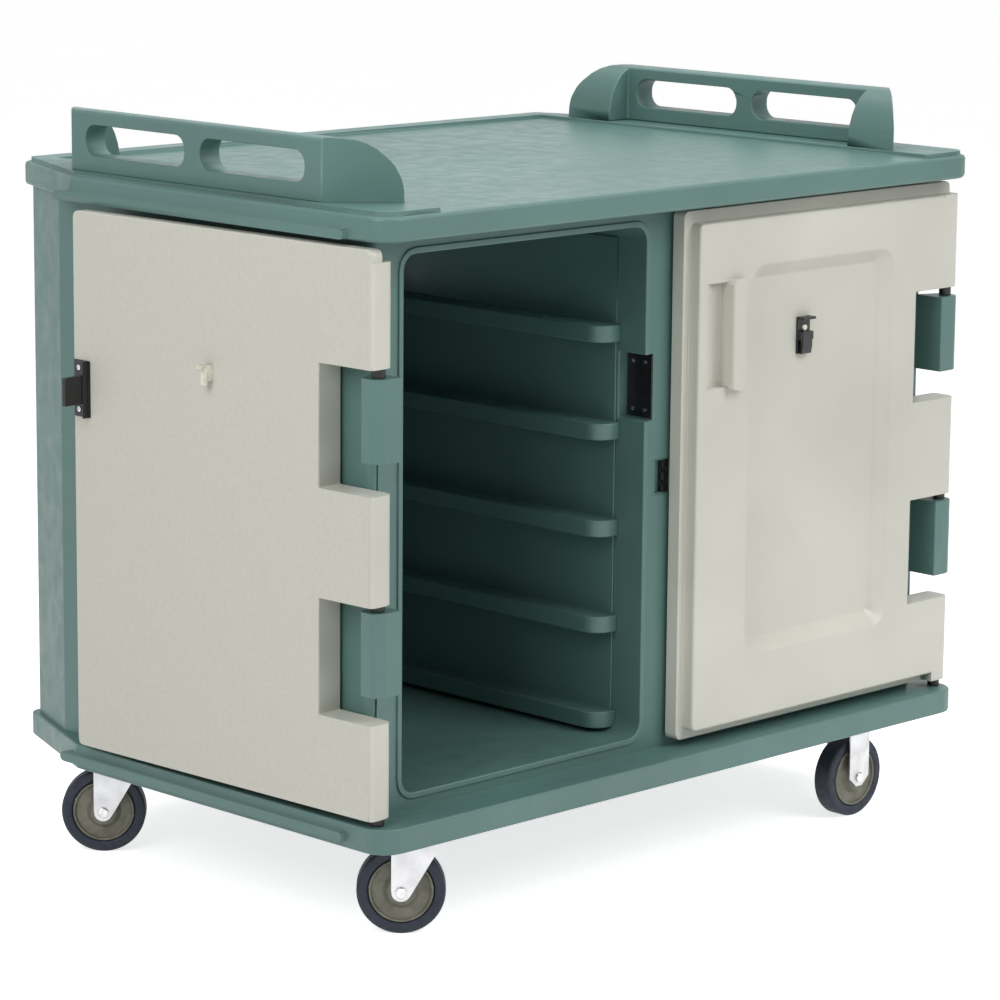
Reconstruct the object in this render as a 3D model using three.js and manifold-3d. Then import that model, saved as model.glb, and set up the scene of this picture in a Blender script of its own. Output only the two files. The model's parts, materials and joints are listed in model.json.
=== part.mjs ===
// Enclosed meal tray cart: an insulated cabinet with two tray compartments, two lift-off doors filled with foam,
// two end handles, two swivel casters on the left and two rigid casters on the right.
//
// Millimetres. X runs along the front from the left end, Y from the front to the rear, Z up from the floor.
// A door is drawn in its own frame: the hinge line is its origin, +x runs to the free edge, +y towards the
// cabinet. The right door is the left one mirrored. The finished cart is centred over the origin at the end.

import * as THREE from 'three';
import { mergeVertices } from 'three/addons/utils/BufferGeometryUtils.js';
import Module from 'manifold-3d';

const wasm = await Module();
wasm.setup();

// ------------------------------------------------------------------ driving sizes

const CLEARANCE = 0.3;          // between pieces that touch or seat in each other
const OVERRUN = 1;              // how far a cut runs past the face that it opens

// cabinet heights and outline
const LENGTH = 1250;
const DEPTH = 876;
const CASTER_HEIGHT = 156;      // floor to the underside of the base
const RIM_HEIGHT = 37;
const CABINET_HEIGHT = 809;     // top of the base rim to the underside of the deck
const DECK_THICKNESS = 36;
const LIP_HEIGHT = 6;
const LIP_END_WIDTH = 110;
const LIP_REAR_WIDTH = 45;
const LIP_INSET = 8;
const LIP_DRAIN = 8;            // gap in the rear lip
const CORNER_RADIUS = 38;
const REAR_CUT_LENGTH = 83;     // slanted rear corner, along X
const REAR_CUT_DEPTH = 212;     // and along Y
const REAR_CORNER_RADIUS = 12;
const DECK_EDGE_RADIUS = 6;
const RIM_EDGE_RADIUS = 3;
const SKIN = 4;                 // outer skin of the cabinet and the doors
const END_INSET = 38.5;         // cabinet wall behind the end of the deck
const REAR_INSET = 13;
const CUT_INSET = 8.5;
const BODY_CORNER_RADIUS = 12;

// doors
const DOOR_SETBACK = 19.5;      // behind the front edge of the deck
const DOOR_THICKNESS = 43.5;
const DOOR_SEAL_GAP = 4.5;      // between the shut door and the front of the cabinet
const DOOR_MEETING_GAP = 15;
const DOOR_TOP_GAP = 8;
const FLANGE_THICKNESS = 22.5;
const FLANGE_RADIUS = 10;
const PANEL_INSET = 13;
const PANEL_TOP_INSET = 18;
const PANEL_EDGE_RADIUS = 5;
const RECESS_DEPTH = 20;
const RECESS_SLOPE = 22;        // width of its slanted sides
const RECESS_FREE_MARGIN = 125;
const RECESS_HINGE_MARGIN = 141;
const RECESS_TOP_MARGIN = 88;
const RECESS_BOTTOM_MARGIN = 112;
const RECESS_RADIUS = 12;
const DOOR_VENT = 16;
const DOOR_REST_GAP = 0.8;      // between the end of the cabinet and what stands out of the open door

// pull on each door
const PULL_HEIGHT = 164;
const PULL_LEVEL = 616;         // middle of the pull above the base rim
const PULL_REACH = 15;          // how far the bar stands out of the door
const PULL_FREE_MARGIN = 72;    // free edge to the finger side of the bar
const PULL_WIDTH = 34;
const HOLLOW_WIDTH = 44;
const HOLLOW_FLOOR = 16;
const HOLLOW_DEPTH = 14;

// hinges: the door knuckles rest on collared pins that stand in the knuckles of the cabinet
const HINGE_INSET = 21.5;
const DOOR_BARREL = 15.5;
const BODY_BARREL = 17.5;
const BARREL_WIDTH = 24;
const KNUCKLE_REACH = 28;
const KNUCKLE_BACK = 16.5;
const NOTCH_DEPTH = 88;
const LOWER_KNUCKLE_LEVEL = 183.6;
const LOWER_KNUCKLE_HEIGHT = 118;
const UPPER_KNUCKLE_LEVEL = 508;
const UPPER_KNUCKLE_HEIGHT = 116;
const LOWER_LIFT_GAP = 37;
const UPPER_LIFT_GAP = 43;
const RIM_COLLAR = 12;
const LOWER_COLLAR = 10;
const UPPER_COLLAR = 14.4;
const COLLAR_RADIUS = 9.4;
const PIN_RADIUS = 7;
const PIN_ENGAGEMENT = 30;

// compartments
const OPENING_END_MARGIN = 96.3;
const CENTRE_WALL = 90;
const OPENING_BOTTOM_MARGIN = 23.3;
const OPENING_TOP_MARGIN = 27.4;
const OPENING_RADIUS = 22;
const BACK_WALL = 38;
const BEAD_WIDTH = 9;
const BEAD_HEIGHT = 3;
const TRAY_LEVELS = 5;
const TRAY_PITCH = 144.5;
const FIRST_RAIL = 6.7;
const RAIL_THICKNESS = 25;
const RAIL_WIDTH = 42;
const RAIL_SETBACK = 46.5;
const RAIL_NOSE_RADIUS = 30;
const LINER_THICKNESS = 3;      // sheet that joins the rails of a compartment
const LINER_SETBACK = 54;

// magnetic latches
const LATCH_LEVEL = 544;        // middle of the latch above the base rim
const POCKET_WIDTH = 20;
const POCKET_DEPTH = 50.5;
const POCKET_HEIGHT = 98;
const STRIKE_THICKNESS = 2;
const STRIKE_DEPTH = 48;
const STRIKE_HEIGHT = 93;
const RIVET_SPACING_DEEP = 23.5;
const RIVET_SPACING_HIGH = 71;
const RIVET_HEAD_RADIUS = 3.2;
const RIVET_HEAD_HEIGHT = 1.2;
const RIVET_RADIUS = 1.7;
const MAGNET_HEIGHT = 41;
const MAGNET_REACH = 42;
const BRACKET_HEIGHT = 83;
const BRACKET_WIDTH = 34;
const BRACKET_THICKNESS = 1.5;
const BRACKET_LIP = 3;
const BRACKET_LEG = 12;
const BRACKET_FREE_MARGIN = 2;
const SCREW_SPACING = 61;
const SCREW_HEAD_RADIUS = 4;
const SCREW_RADIUS = 2;
const SCREW_LENGTH = 5;

// keeper in the front of the centre wall
const KEEPER_LEVEL = 408.5;
const KEEPER_RECESS_WIDTH = 48;
const KEEPER_RECESS_HEIGHT = 54;
const KEEPER_RECESS_DEPTH = 2.5;
const KEEPER_WELL_WIDTH = 28;
const KEEPER_WELL_HEIGHT = 48;
const KEEPER_WELL_DEPTH = 12;
const KEEPER_WIDTH = 13;
const KEEPER_DEPTH = 9;
const KEEPER_SLOT_HEIGHT = 6;
const KEEPER_SLOT_SPACING = 19;

// menu clip and the retainer that holds it through the door
const CLIP_DROP = 85;           // its stem below the top of the recess's flat floor
const LEFT_CLIP_REACH = 305;    // hinge line to the middle of the clip
const RIGHT_CLIP_REACH = 332;
const CLIP_WIDTH = 28;
const CLIP_PLATE = 3;
const CLIP_ABOVE = 17;
const CLIP_BELOW = 39;
const CLIP_HOOK_REACH = 12;
const CLIP_HOOK_THICKNESS = 4;
const EAR_THICKNESS = 3;
const EAR_HEIGHT = 12;
const PIVOT_RADIUS = 1.6;
const PIVOT_BELOW = 12;
const PIVOT_OUT = 7.5;
const JAW_OUT = 11.5;
const JAW_GAP = 0.4;            // under the stem of the retainer
const JAW_BLOCK_HEIGHT = 23;
const STEM_RADIUS = 4.6;
const STEM_OUT = 6.5;
const RETAINER_WIDTH = 12;
const RETAINER_BLOCK = 10;
const RETAINER_PLATE = 3;
const RETAINER_HOOK = 8;
const RETAINER_ABOVE = 5;
const RETAINER_BELOW = 24;

// end handles
const HANDLE_INSET = 25;
const HANDLE_THICKNESS = 38;
const HANDLE_HEIGHT = 88;
const HANDLE_CENTRE = 424;
const HANDLE_HALF = 267;
const HANDLE_TURN = 80;         // length and width of the turned-in ends
const HANDLE_CROWN = 23;        // flat top before the end block curves down
const HANDLE_BLOCK = 83;
const HANDLE_POCKET_HALF = 255;
const HANDLE_EDGE_RADIUS = 8;
const SLOT_NEAR = 17;
const SLOT_FAR = 235;
const SLOT_BOTTOM = 23;
const SLOT_HEIGHT = 45;
const SLOT_RADIUS = 20;

// bumper ribs on the ends of the deck and the base
const RIB_REACH = 8;
const RIB_HEIGHT = 14;
const RIB_FRONT = 76;
const RIB_REAR = 694;
const DECK_RIB_LEVEL = 8;
const BASE_RIB_LEVEL = 16;

// casters
const WHEEL_RADIUS = 63.5;
const TYRE_WIDTH = 32;
const HUB_RADIUS = 46;
const HUB_WEB = 22;
const HUB_BOSS_RADIUS = 15;
const AXLE_RADIUS = 5;
const CASTER_PLATE = 4;
const PLATE_LENGTH = 100;
const PLATE_WIDTH = 84;
const LEG_GAP = 43;             // between the legs of a fork
const LEG_THICKNESS = 3;
const LEG_WIDTH = 60;
const LEG_END_RADIUS = 14;
const RIGID_LEG_WIDTH = 45;
const TRAIL = 38;
const SWIVEL_GAP = 11;          // caster plate to the crown of the fork
const RACE_RADIUS = 27;
const KINGPIN_RADIUS = 6;
const KINGPIN_HEAD_RADIUS = 11;
const KINGPIN_HEAD_HEIGHT = 5;
const AXLE_HEAD_RADIUS = 8;
const AXLE_HEAD_HEIGHT = 3;
const FRONT_CASTER = 85;        // from the front edge of the deck
const REAR_CASTER = 177;        // from the rear edge of the deck
const FRONT_SWIVEL_X = 167;     // from the left end
const REAR_SWIVEL_X = 129;
const RIGID_X = 167;            // from the right end
const SWIVEL_HEADING = 136.2;   // degrees from +X to the trailing wheel

// ------------------------------------------------------------------ worked-out places

const BASE_BOTTOM = CASTER_HEIGHT;
const RIM_TOP = BASE_BOTTOM + RIM_HEIGHT;
const DECK_BOTTOM = RIM_TOP + CABINET_HEIGHT;
const DECK_TOP = DECK_BOTTOM + DECK_THICKNESS;
const LIP_TOP = DECK_TOP + LIP_HEIGHT;
const BODY_FRONT = DOOR_SETBACK + DOOR_THICKNESS + DOOR_SEAL_GAP;
const HINGE_Y = DOOR_SETBACK + DOOR_BARREL;
const MIDDLE = LENGTH / 2;

const OPENING_LEFT = OPENING_END_MARGIN;
const OPENING_RIGHT = MIDDLE - CENTRE_WALL / 2;
const OPENING_BOTTOM = RIM_TOP + OPENING_BOTTOM_MARGIN;
const OPENING_TOP = DECK_BOTTOM - OPENING_TOP_MARGIN;
const COMPARTMENT_BACK = DEPTH - REAR_INSET - BACK_WALL;

const DOOR_FACE = -DOOR_BARREL;
const DOOR_BACK = DOOR_FACE + DOOR_THICKNESS;
const FLANGE_FACE = DOOR_BACK - FLANGE_THICKNESS;
const FREE_EDGE = MIDDLE - DOOR_MEETING_GAP / 2 - HINGE_INSET;
const DOOR_BOTTOM = RIM_TOP + RIM_COLLAR;
const DOOR_TOP = DECK_BOTTOM - DOOR_TOP_GAP;
const BARREL_TOP = DOOR_TOP - PANEL_TOP_INSET;
const RECESS_FLOOR = DOOR_FACE + RECESS_DEPTH;

const LOWER_KNUCKLE = { bottom: RIM_TOP + LOWER_KNUCKLE_LEVEL };
LOWER_KNUCKLE.top = LOWER_KNUCKLE.bottom + LOWER_KNUCKLE_HEIGHT;
const UPPER_KNUCKLE = { bottom: RIM_TOP + UPPER_KNUCKLE_LEVEL };
UPPER_KNUCKLE.top = UPPER_KNUCKLE.bottom + UPPER_KNUCKLE_HEIGHT;

// screw heads on the latch bracket stay clear of the front of the centre wall when the door is shut
const SCREW_HEAD_HEIGHT = DOOR_SEAL_GAP - BRACKET_THICKNESS - 3 * CLEARANCE;

const LATCH_Z = RIM_TOP + LATCH_LEVEL;
const POCKET_WALL = OPENING_RIGHT + POCKET_WIDTH;
const STRIKE_FACE = POCKET_WALL - CLEARANCE - STRIKE_THICKNESS;
const RIVET_FRONT = BODY_FRONT + (POCKET_DEPTH - RIVET_SPACING_DEEP) / 2;
const KEEPER_Z = RIM_TOP + KEEPER_LEVEL;
const CLIP_Z = DOOR_TOP - RECESS_TOP_MARGIN - RECESS_SLOPE - CLIP_DROP;

// the left door stands open, its pull or its menu clip just clear of the end of the cabinet
function openDoorHeading(reach, standout) {
  const radius = Math.hypot(reach, standout);
  const room = END_INSET - HINGE_INSET - DOOR_REST_GAP;
  return Math.acos(room / radius) + Math.atan2(standout, reach);
}

const CLIP_STANDOUT = CLEARANCE + CLIP_PLATE + CLIP_HOOK_REACH - RECESS_FLOOR;
const LEFT_DOOR_HEADING = Math.max(
  openDoorHeading(FREE_EDGE - PULL_FREE_MARGIN - PULL_WIDTH, PULL_REACH + DOOR_BARREL),
  openDoorHeading(LEFT_CLIP_REACH - CLIP_WIDTH / 2, CLIP_STANDOUT),
);
const AXLE_Z = WHEEL_RADIUS;

// each pin: where its collar starts and how tall the collar is
const PINS = {
  lower: { seat: RIM_TOP, collar: RIM_COLLAR },
  middle: { seat: LOWER_KNUCKLE.top, collar: LOWER_COLLAR },
  upper: { seat: UPPER_KNUCKLE.top, collar: UPPER_COLLAR },
};

// ------------------------------------------------------------------ materials

const FINISHES = {
  shell: { color: 0x5d857d, roughness: 0.5, metalness: 0 },
  door: { color: 0xc6c6bb, roughness: 0.55, metalness: 0 },
  foam: { color: 0xd9cfa6, roughness: 0.95, metalness: 0 },
  nylon: { color: 0x1b1c1d, roughness: 0.5, metalness: 0 },
  white: { color: 0xe8e8de, roughness: 0.45, metalness: 0 },
  magnet: { color: 0x141414, roughness: 0.6, metalness: 0 },
  strike: { color: 0x17181a, roughness: 0.45, metalness: 0.6 },
  steel: { color: 0x9b9ea1, roughness: 0.35, metalness: 1 },
  zinc: { color: 0xb4b7ba, roughness: 0.38, metalness: 1 },
  hub: { color: 0x6f7168, roughness: 0.6, metalness: 0 },
  tyre: { color: 0x22252c, roughness: 0.8, metalness: 0 },
};

function finish(name) {
  return new THREE.MeshStandardMaterial(FINISHES[name]);
}

// ------------------------------------------------------------------ shape tools

const CORNER_STEPS = 2;
const BARREL_STEPS = 6;
const SMALL_SIDES = 8;
const ROUND_SIDES = 16;
const WHEEL_SIDES = 24;

function solid(geometry) {
  const bare = geometry.clone();
  bare.deleteAttribute('normal');
  bare.deleteAttribute('uv');
  const merged = mergeVertices(bare, 1e-4);
  const mesh = new wasm.Mesh({
    numProp: 3,
    vertProperties: new Float32Array(merged.attributes.position.array),
    triVerts: new Uint32Array(merged.index.array),
  });
  return new wasm.Manifold(mesh);
}

function toGeometry(body) {
  const mesh = body.getMesh();
  const geometry = new THREE.BufferGeometry();
  geometry.setAttribute('position', new THREE.BufferAttribute(new Float32Array(mesh.vertProperties), 3));
  geometry.setIndex(new THREE.BufferAttribute(new Uint32Array(mesh.triVerts), 1));
  geometry.computeVertexNormals();
  return geometry;
}

// closed outline through corners [x, y, radius], counter-clockwise, each convex corner rounded by an arc
function outline(corners) {
  const shape = new THREE.Shape();
  corners.forEach(([x, y, radius = 0], i) => {
    const here = new THREE.Vector2(x, y);
    if (radius === 0) {
      if (i === 0) shape.moveTo(x, y);
      else shape.lineTo(x, y);
      return;
    }
    const before = new THREE.Vector2(...corners.at(i - 1).slice(0, 2)).sub(here).normalize();
    const after = new THREE.Vector2(...corners[(i + 1) % corners.length].slice(0, 2)).sub(here).normalize();
    const half = Math.acos(THREE.MathUtils.clamp(before.dot(after), -1, 1)) / 2;
    const centre = before.clone().add(after).normalize().multiplyScalar(radius / Math.sin(half)).add(here);
    const reach = radius / Math.tan(half);
    const start = before.multiplyScalar(reach).add(here);
    const end = after.multiplyScalar(reach).add(here);
    const from = Math.atan2(start.y - centre.y, start.x - centre.x);
    const to = Math.atan2(end.y - centre.y, end.x - centre.x);
    if (i === 0) shape.moveTo(start.x, start.y);
    shape.absarc(centre.x, centre.y, radius, from, to, false);
  });
  shape.closePath();
  return shape;
}

function rectangle(left, right, bottom, top, radius = 0) {
  return outline([
    [left, bottom, radius],
    [right, bottom, radius],
    [right, top, radius],
    [left, top, radius],
  ]);
}

function circle(x, y, radius) {
  const shape = new THREE.Shape();
  shape.absarc(x, y, radius, 0, 2 * Math.PI, false);
  return shape;
}

// the plane that an outline is drawn in, and the way it is extruded: x uses (y, z), y uses (x, z), z uses (x, y)
const BASES = {
  x: [new THREE.Vector3(0, 1, 0), new THREE.Vector3(0, 0, 1), new THREE.Vector3(1, 0, 0)],
  y: [new THREE.Vector3(1, 0, 0), new THREE.Vector3(0, 0, 1), new THREE.Vector3(0, -1, 0)],
  z: [new THREE.Vector3(1, 0, 0), new THREE.Vector3(0, 1, 0), new THREE.Vector3(0, 0, 1)],
};

function prism(shape, axis, from, to, steps = CORNER_STEPS) {
  const geometry = new THREE.ExtrudeGeometry(shape, {
    depth: to - from,
    bevelEnabled: false,
    curveSegments: steps,
  });
  geometry.applyMatrix4(new THREE.Matrix4().makeBasis(...BASES[axis]));
  const start = axis === 'y' ? to : from;
  const shift = new THREE.Vector3();
  shift[axis] = start;
  geometry.translate(shift.x, shift.y, shift.z);
  return solid(geometry);
}

// a slab whose top and bottom edges are rounded
function slab(shape, from, to, radius) {
  const geometry = new THREE.ExtrudeGeometry(shape, {
    depth: to - from - 2 * radius,
    bevelEnabled: true,
    bevelThickness: radius,
    bevelSize: radius,
    bevelOffset: -radius,
    bevelSegments: 2,
    curveSegments: CORNER_STEPS,
  });
  geometry.translate(0, 0, from + radius);
  return solid(geometry);
}

function block(x0, x1, y0, y1, z0, z1) {
  const geometry = new THREE.BoxGeometry(x1 - x0, y1 - y0, z1 - z0);
  geometry.translate((x0 + x1) / 2, (y0 + y1) / 2, (z0 + z1) / 2);
  return solid(geometry);
}

function rod(axis, u, v, radius, from, to, sides = ROUND_SIDES) {
  return prism(circle(u, v, radius), axis, from, to, sides / 2);
}

// turned round the Z axis from a closed profile of [radius, height], listed from the bottom up the outside
function turned(profile, sides = WHEEL_SIDES) {
  const points = profile.map(([radius, height]) => new THREE.Vector2(radius, height));
  const geometry = new THREE.LatheGeometry(points, sides);
  geometry.rotateX(Math.PI / 2);
  return solid(geometry);
}

function union(pieces) {
  return pieces.reduce((sum, piece) => sum.add(piece));
}

function cut(body, tools) {
  return tools.reduce((rest, tool) => rest.subtract(tool), body);
}

// the copy on the other side of the cart's middle
function acrossCart(body) {
  return body.mirror([1, 0, 0]).translate([LENGTH, 0, 0]);
}

function bothSides(body) {
  return body.add(acrossCart(body));
}

function part(name, body, finishName) {
  const mesh = new THREE.Mesh(toGeometry(body), finish(finishName));
  mesh.name = name;
  return mesh;
}

// ------------------------------------------------------------------ cabinet

// plan of the cabinet at an inset from the ends, front, rear and slanted rear corners
function plan({ end, front, rear, slant, frontRadius, rearRadius }) {
  const slope = REAR_CUT_DEPTH / REAR_CUT_LENGTH;
  const drop = slant * Math.hypot(1, slope);
  const lineStart = DEPTH - REAR_CUT_DEPTH - drop;
  const sideY = lineStart + end * slope;
  const rearY = DEPTH - rear;
  const rearX = (rearY - lineStart) / slope;
  return outline([
    [end, front, frontRadius],
    [LENGTH - end, front, frontRadius],
    [LENGTH - end, sideY, rearRadius],
    [LENGTH - rearX, rearY, rearRadius],
    [rearX, rearY, rearRadius],
    [end, sideY, rearRadius],
  ]);
}

function edgePlan(inset) {
  return plan({
    end: inset,
    front: inset,
    rear: inset,
    slant: inset,
    frontRadius: CORNER_RADIUS - inset,
    rearRadius: REAR_CORNER_RADIUS,
  });
}

function bodyPlan() {
  return plan({
    end: END_INSET,
    front: BODY_FRONT,
    rear: REAR_INSET,
    slant: CUT_INSET,
    frontRadius: BODY_CORNER_RADIUS,
    rearRadius: REAR_CORNER_RADIUS,
  });
}

function openingShape(grow) {
  return rectangle(
    OPENING_LEFT - grow,
    OPENING_RIGHT + grow,
    OPENING_BOTTOM - grow,
    OPENING_TOP + grow,
    OPENING_RADIUS + grow,
  );
}

function pocket() {
  return block(
    OPENING_RIGHT - OVERRUN,
    POCKET_WALL,
    BODY_FRONT - BEAD_HEIGHT - OVERRUN,
    BODY_FRONT + POCKET_DEPTH,
    LATCH_Z - POCKET_HEIGHT / 2,
    LATCH_Z + POCKET_HEIGHT / 2,
  );
}

function keeperBox(width, height, depth) {
  return block(
    MIDDLE - width / 2,
    MIDDLE + width / 2,
    BODY_FRONT - OVERRUN,
    BODY_FRONT + depth,
    KEEPER_Z - height / 2,
    KEEPER_Z + height / 2,
  );
}

function rails() {
  const front = BODY_FRONT + RAIL_SETBACK;
  const back = COMPARTMENT_BACK + OVERRUN;
  const onLeftWall = outline([
    [OPENING_LEFT - OVERRUN, front],
    [OPENING_LEFT + RAIL_WIDTH, front, RAIL_NOSE_RADIUS],
    [OPENING_LEFT + RAIL_WIDTH, back],
    [OPENING_LEFT - OVERRUN, back],
  ]);
  const onRightWall = outline([
    [OPENING_RIGHT - RAIL_WIDTH, front, RAIL_NOSE_RADIUS],
    [OPENING_RIGHT + OVERRUN, front],
    [OPENING_RIGHT + OVERRUN, back],
    [OPENING_RIGHT - RAIL_WIDTH, back],
  ]);
  const all = [];
  for (let level = 0; level < TRAY_LEVELS; level += 1) {
    const bottom = OPENING_BOTTOM + FIRST_RAIL + level * TRAY_PITCH;
    all.push(prism(onLeftWall, 'z', bottom, bottom + RAIL_THICKNESS));
    all.push(prism(onRightWall, 'z', bottom, bottom + RAIL_THICKNESS));
  }
  return union(all);
}

// the rails of one compartment and the sheet behind them, which lies against the side and rear walls
function trayLiner() {
  const room = prism(openingShape(-CLEARANCE), 'y', BODY_FRONT, COMPARTMENT_BACK - CLEARANCE);
  const sheet = (inset, front, overrun) => block(
    OPENING_LEFT + inset,
    OPENING_RIGHT - inset,
    front,
    COMPARTMENT_BACK - inset,
    OPENING_BOTTOM + OPENING_RADIUS - overrun,
    OPENING_TOP - OPENING_RADIUS + overrun,
  );
  const outside = sheet(CLEARANCE, BODY_FRONT + LINER_SETBACK, 0);
  const inside = sheet(CLEARANCE + LINER_THICKNESS, BODY_FRONT, OVERRUN);
  return outside.subtract(inside).add(rails().intersect(room));
}

function bodyKnuckle({ bottom, top }) {
  const x = HINGE_INSET;
  const shape = outline([
    [x - BODY_BARREL, HINGE_Y - BODY_BARREL, BODY_BARREL],
    [x + KNUCKLE_REACH, HINGE_Y - BODY_BARREL, 2],
    [x + KNUCKLE_REACH, BODY_FRONT + SKIN / 2],
    [END_INSET + BODY_CORNER_RADIUS / 2, BODY_FRONT + SKIN / 2],
    [x - BODY_BARREL, HINGE_Y + KNUCKLE_BACK, 4],
  ]);
  return prism(shape, 'z', bottom, top, BARREL_STEPS);
}

function pinBore(seat) {
  return rod('z', HINGE_INSET, HINGE_Y, PIN_RADIUS + CLEARANCE, seat - PIN_ENGAGEMENT - CLEARANCE, seat + OVERRUN);
}

function endHandle() {
  const front = HANDLE_CENTRE - HANDLE_HALF;
  const rear = HANDLE_CENTRE + HANDLE_HALF;
  const outer = HANDLE_INSET;
  const inner = HANDLE_INSET + HANDLE_BLOCK;
  const top = LIP_TOP + HANDLE_HEIGHT;
  const foot = LIP_TOP + CLEARANCE;
  const planShape = outline([
    [outer, front, 10],
    [outer + HANDLE_TURN, front - HANDLE_TURN, 4],
    [inner, front - HANDLE_TURN],
    [inner, rear + HANDLE_TURN],
    [outer + HANDLE_TURN, rear + HANDLE_TURN, 4],
    [outer, rear, 10],
  ]);
  const profile = new THREE.Shape();
  profile.moveTo(outer, foot);
  profile.lineTo(inner, foot);
  const crown = outer + HANDLE_CROWN;
  profile.absellipse(crown, foot, inner - crown, top - foot, 0, Math.PI / 2, false, 0);
  profile.absarc(outer + HANDLE_EDGE_RADIUS, top - HANDLE_EDGE_RADIUS, HANDLE_EDGE_RADIUS, Math.PI / 2, Math.PI, false);
  profile.closePath();
  const raised = prism(profile, 'y', front - HANDLE_TURN, rear + HANDLE_TURN, 4);
  const grip = raised.intersect(prism(planShape, 'z', foot - OVERRUN, top + OVERRUN));
  const hand = block(
    outer + HANDLE_THICKNESS,
    inner + OVERRUN,
    HANDLE_CENTRE - HANDLE_POCKET_HALF,
    HANDLE_CENTRE + HANDLE_POCKET_HALF,
    DECK_TOP,
    top + OVERRUN,
  );
  const slots = [-1, 1].map((side) => {
    const edges = [HANDLE_CENTRE + side * SLOT_NEAR, HANDLE_CENTRE + side * SLOT_FAR].sort((a, b) => a - b);
    const bottom = LIP_TOP + SLOT_BOTTOM;
    const shape = rectangle(edges[0], edges[1], bottom, bottom + SLOT_HEIGHT, SLOT_RADIUS);
    return prism(shape, 'x', outer - OVERRUN, outer + HANDLE_THICKNESS + OVERRUN, 3);
  });
  return cut(grip, [hand, ...slots]);
}

function bumperRib(bottom) {
  const shape = rectangle(RIB_FRONT, RIB_REAR, bottom, bottom + RIB_HEIGHT, RIB_HEIGHT / 2);
  return prism(shape, 'x', -RIB_REACH, DECK_EDGE_RADIUS + OVERRUN, 3);
}

function deckLip() {
  const raised = prism(edgePlan(LIP_INSET), 'z', DECK_TOP - OVERRUN, LIP_TOP);
  const tray = block(
    LIP_END_WIDTH,
    LENGTH - LIP_END_WIDTH,
    -OVERRUN,
    DEPTH - LIP_REAR_WIDTH,
    DECK_TOP - 2 * OVERRUN,
    LIP_TOP + OVERRUN,
  );
  const drain = block(
    MIDDLE - LIP_DRAIN / 2,
    MIDDLE + LIP_DRAIN / 2,
    DEPTH - LIP_REAR_WIDTH - OVERRUN,
    DEPTH,
    DECK_TOP,
    LIP_TOP + OVERRUN,
  );
  return cut(raised, [tray, drain]);
}

function rivetPlaces() {
  const places = [];
  for (const up of [-1, 1]) {
    for (const deep of [0, 1]) {
      places.push({
        name: `${up < 0 ? 'lower' : 'upper'}_${deep ? 'rear' : 'front'}`,
        y: RIVET_FRONT + deep * RIVET_SPACING_DEEP,
        z: LATCH_Z + (up * RIVET_SPACING_HIGH) / 2,
      });
    }
  }
  return places;
}

function cabinetShell() {
  const base = slab(edgePlan(0), BASE_BOTTOM, RIM_TOP, RIM_EDGE_RADIUS);
  const walls = prism(bodyPlan(), 'z', BASE_BOTTOM + OVERRUN, DECK_TOP - OVERRUN);
  const deck = slab(edgePlan(0), DECK_BOTTOM, DECK_TOP, DECK_EDGE_RADIUS);
  const bead = prism(openingShape(BEAD_WIDTH), 'y', BODY_FRONT - BEAD_HEIGHT, BODY_FRONT + OVERRUN);
  const outside = [
    bead,
    bodyKnuckle(LOWER_KNUCKLE),
    bodyKnuckle(UPPER_KNUCKLE),
    bumperRib(DECK_BOTTOM + DECK_RIB_LEVEL - RIB_HEIGHT / 2),
    bumperRib(BASE_BOTTOM + BASE_RIB_LEVEL - RIB_HEIGHT / 2),
  ];
  const whole = union([base, walls, deck, deckLip(), bothSides(union(outside))]);
  const compartment = prism(openingShape(0), 'y', BODY_FRONT - BEAD_HEIGHT - OVERRUN, COMPARTMENT_BACK);
  const rivetHoles = rivetPlaces().map(({ y, z }) =>
    rod('x', y, z, RIVET_RADIUS + CLEARANCE, POCKET_WALL - OVERRUN, POCKET_WALL + SKIN + OVERRUN, SMALL_SIDES),
  );
  const sideCuts = union([compartment, pocket(), ...rivetHoles, ...Object.values(PINS).map(({ seat }) => pinBore(seat))]);
  return cut(whole, [
    bothSides(sideCuts),
    keeperBox(KEEPER_RECESS_WIDTH, KEEPER_RECESS_HEIGHT, KEEPER_RECESS_DEPTH),
    keeperBox(KEEPER_WELL_WIDTH, KEEPER_WELL_HEIGHT, KEEPER_WELL_DEPTH),
  ]);
}

function strikePlate() {
  const middle = BODY_FRONT + POCKET_DEPTH / 2;
  const shape = rectangle(
    middle - STRIKE_DEPTH / 2,
    middle + STRIKE_DEPTH / 2,
    LATCH_Z - STRIKE_HEIGHT / 2,
    LATCH_Z + STRIKE_HEIGHT / 2,
    3,
  );
  const holes = rivetPlaces().map(({ y, z }) =>
    rod('x', y, z, RIVET_RADIUS + CLEARANCE, STRIKE_FACE - OVERRUN, POCKET_WALL + OVERRUN, SMALL_SIDES),
  );
  return cut(prism(shape, 'x', STRIKE_FACE, STRIKE_FACE + STRIKE_THICKNESS), holes);
}

// rivet with its head on the strike plate, its shank in the skin of the pocket
function strikeRivet({ y, z }) {
  const head = turned([
    [0, -STRIKE_THICKNESS - SKIN],
    [RIVET_RADIUS, -STRIKE_THICKNESS - SKIN],
    [RIVET_RADIUS, CLEARANCE],
    [RIVET_HEAD_RADIUS, CLEARANCE],
    [RIVET_HEAD_RADIUS * 0.8, CLEARANCE + RIVET_HEAD_HEIGHT * 0.7],
    [0, CLEARANCE + RIVET_HEAD_HEIGHT],
  ], SMALL_SIDES);
  return head.rotate([0, -90, 0]).translate([STRIKE_FACE, y, z]);
}

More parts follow.
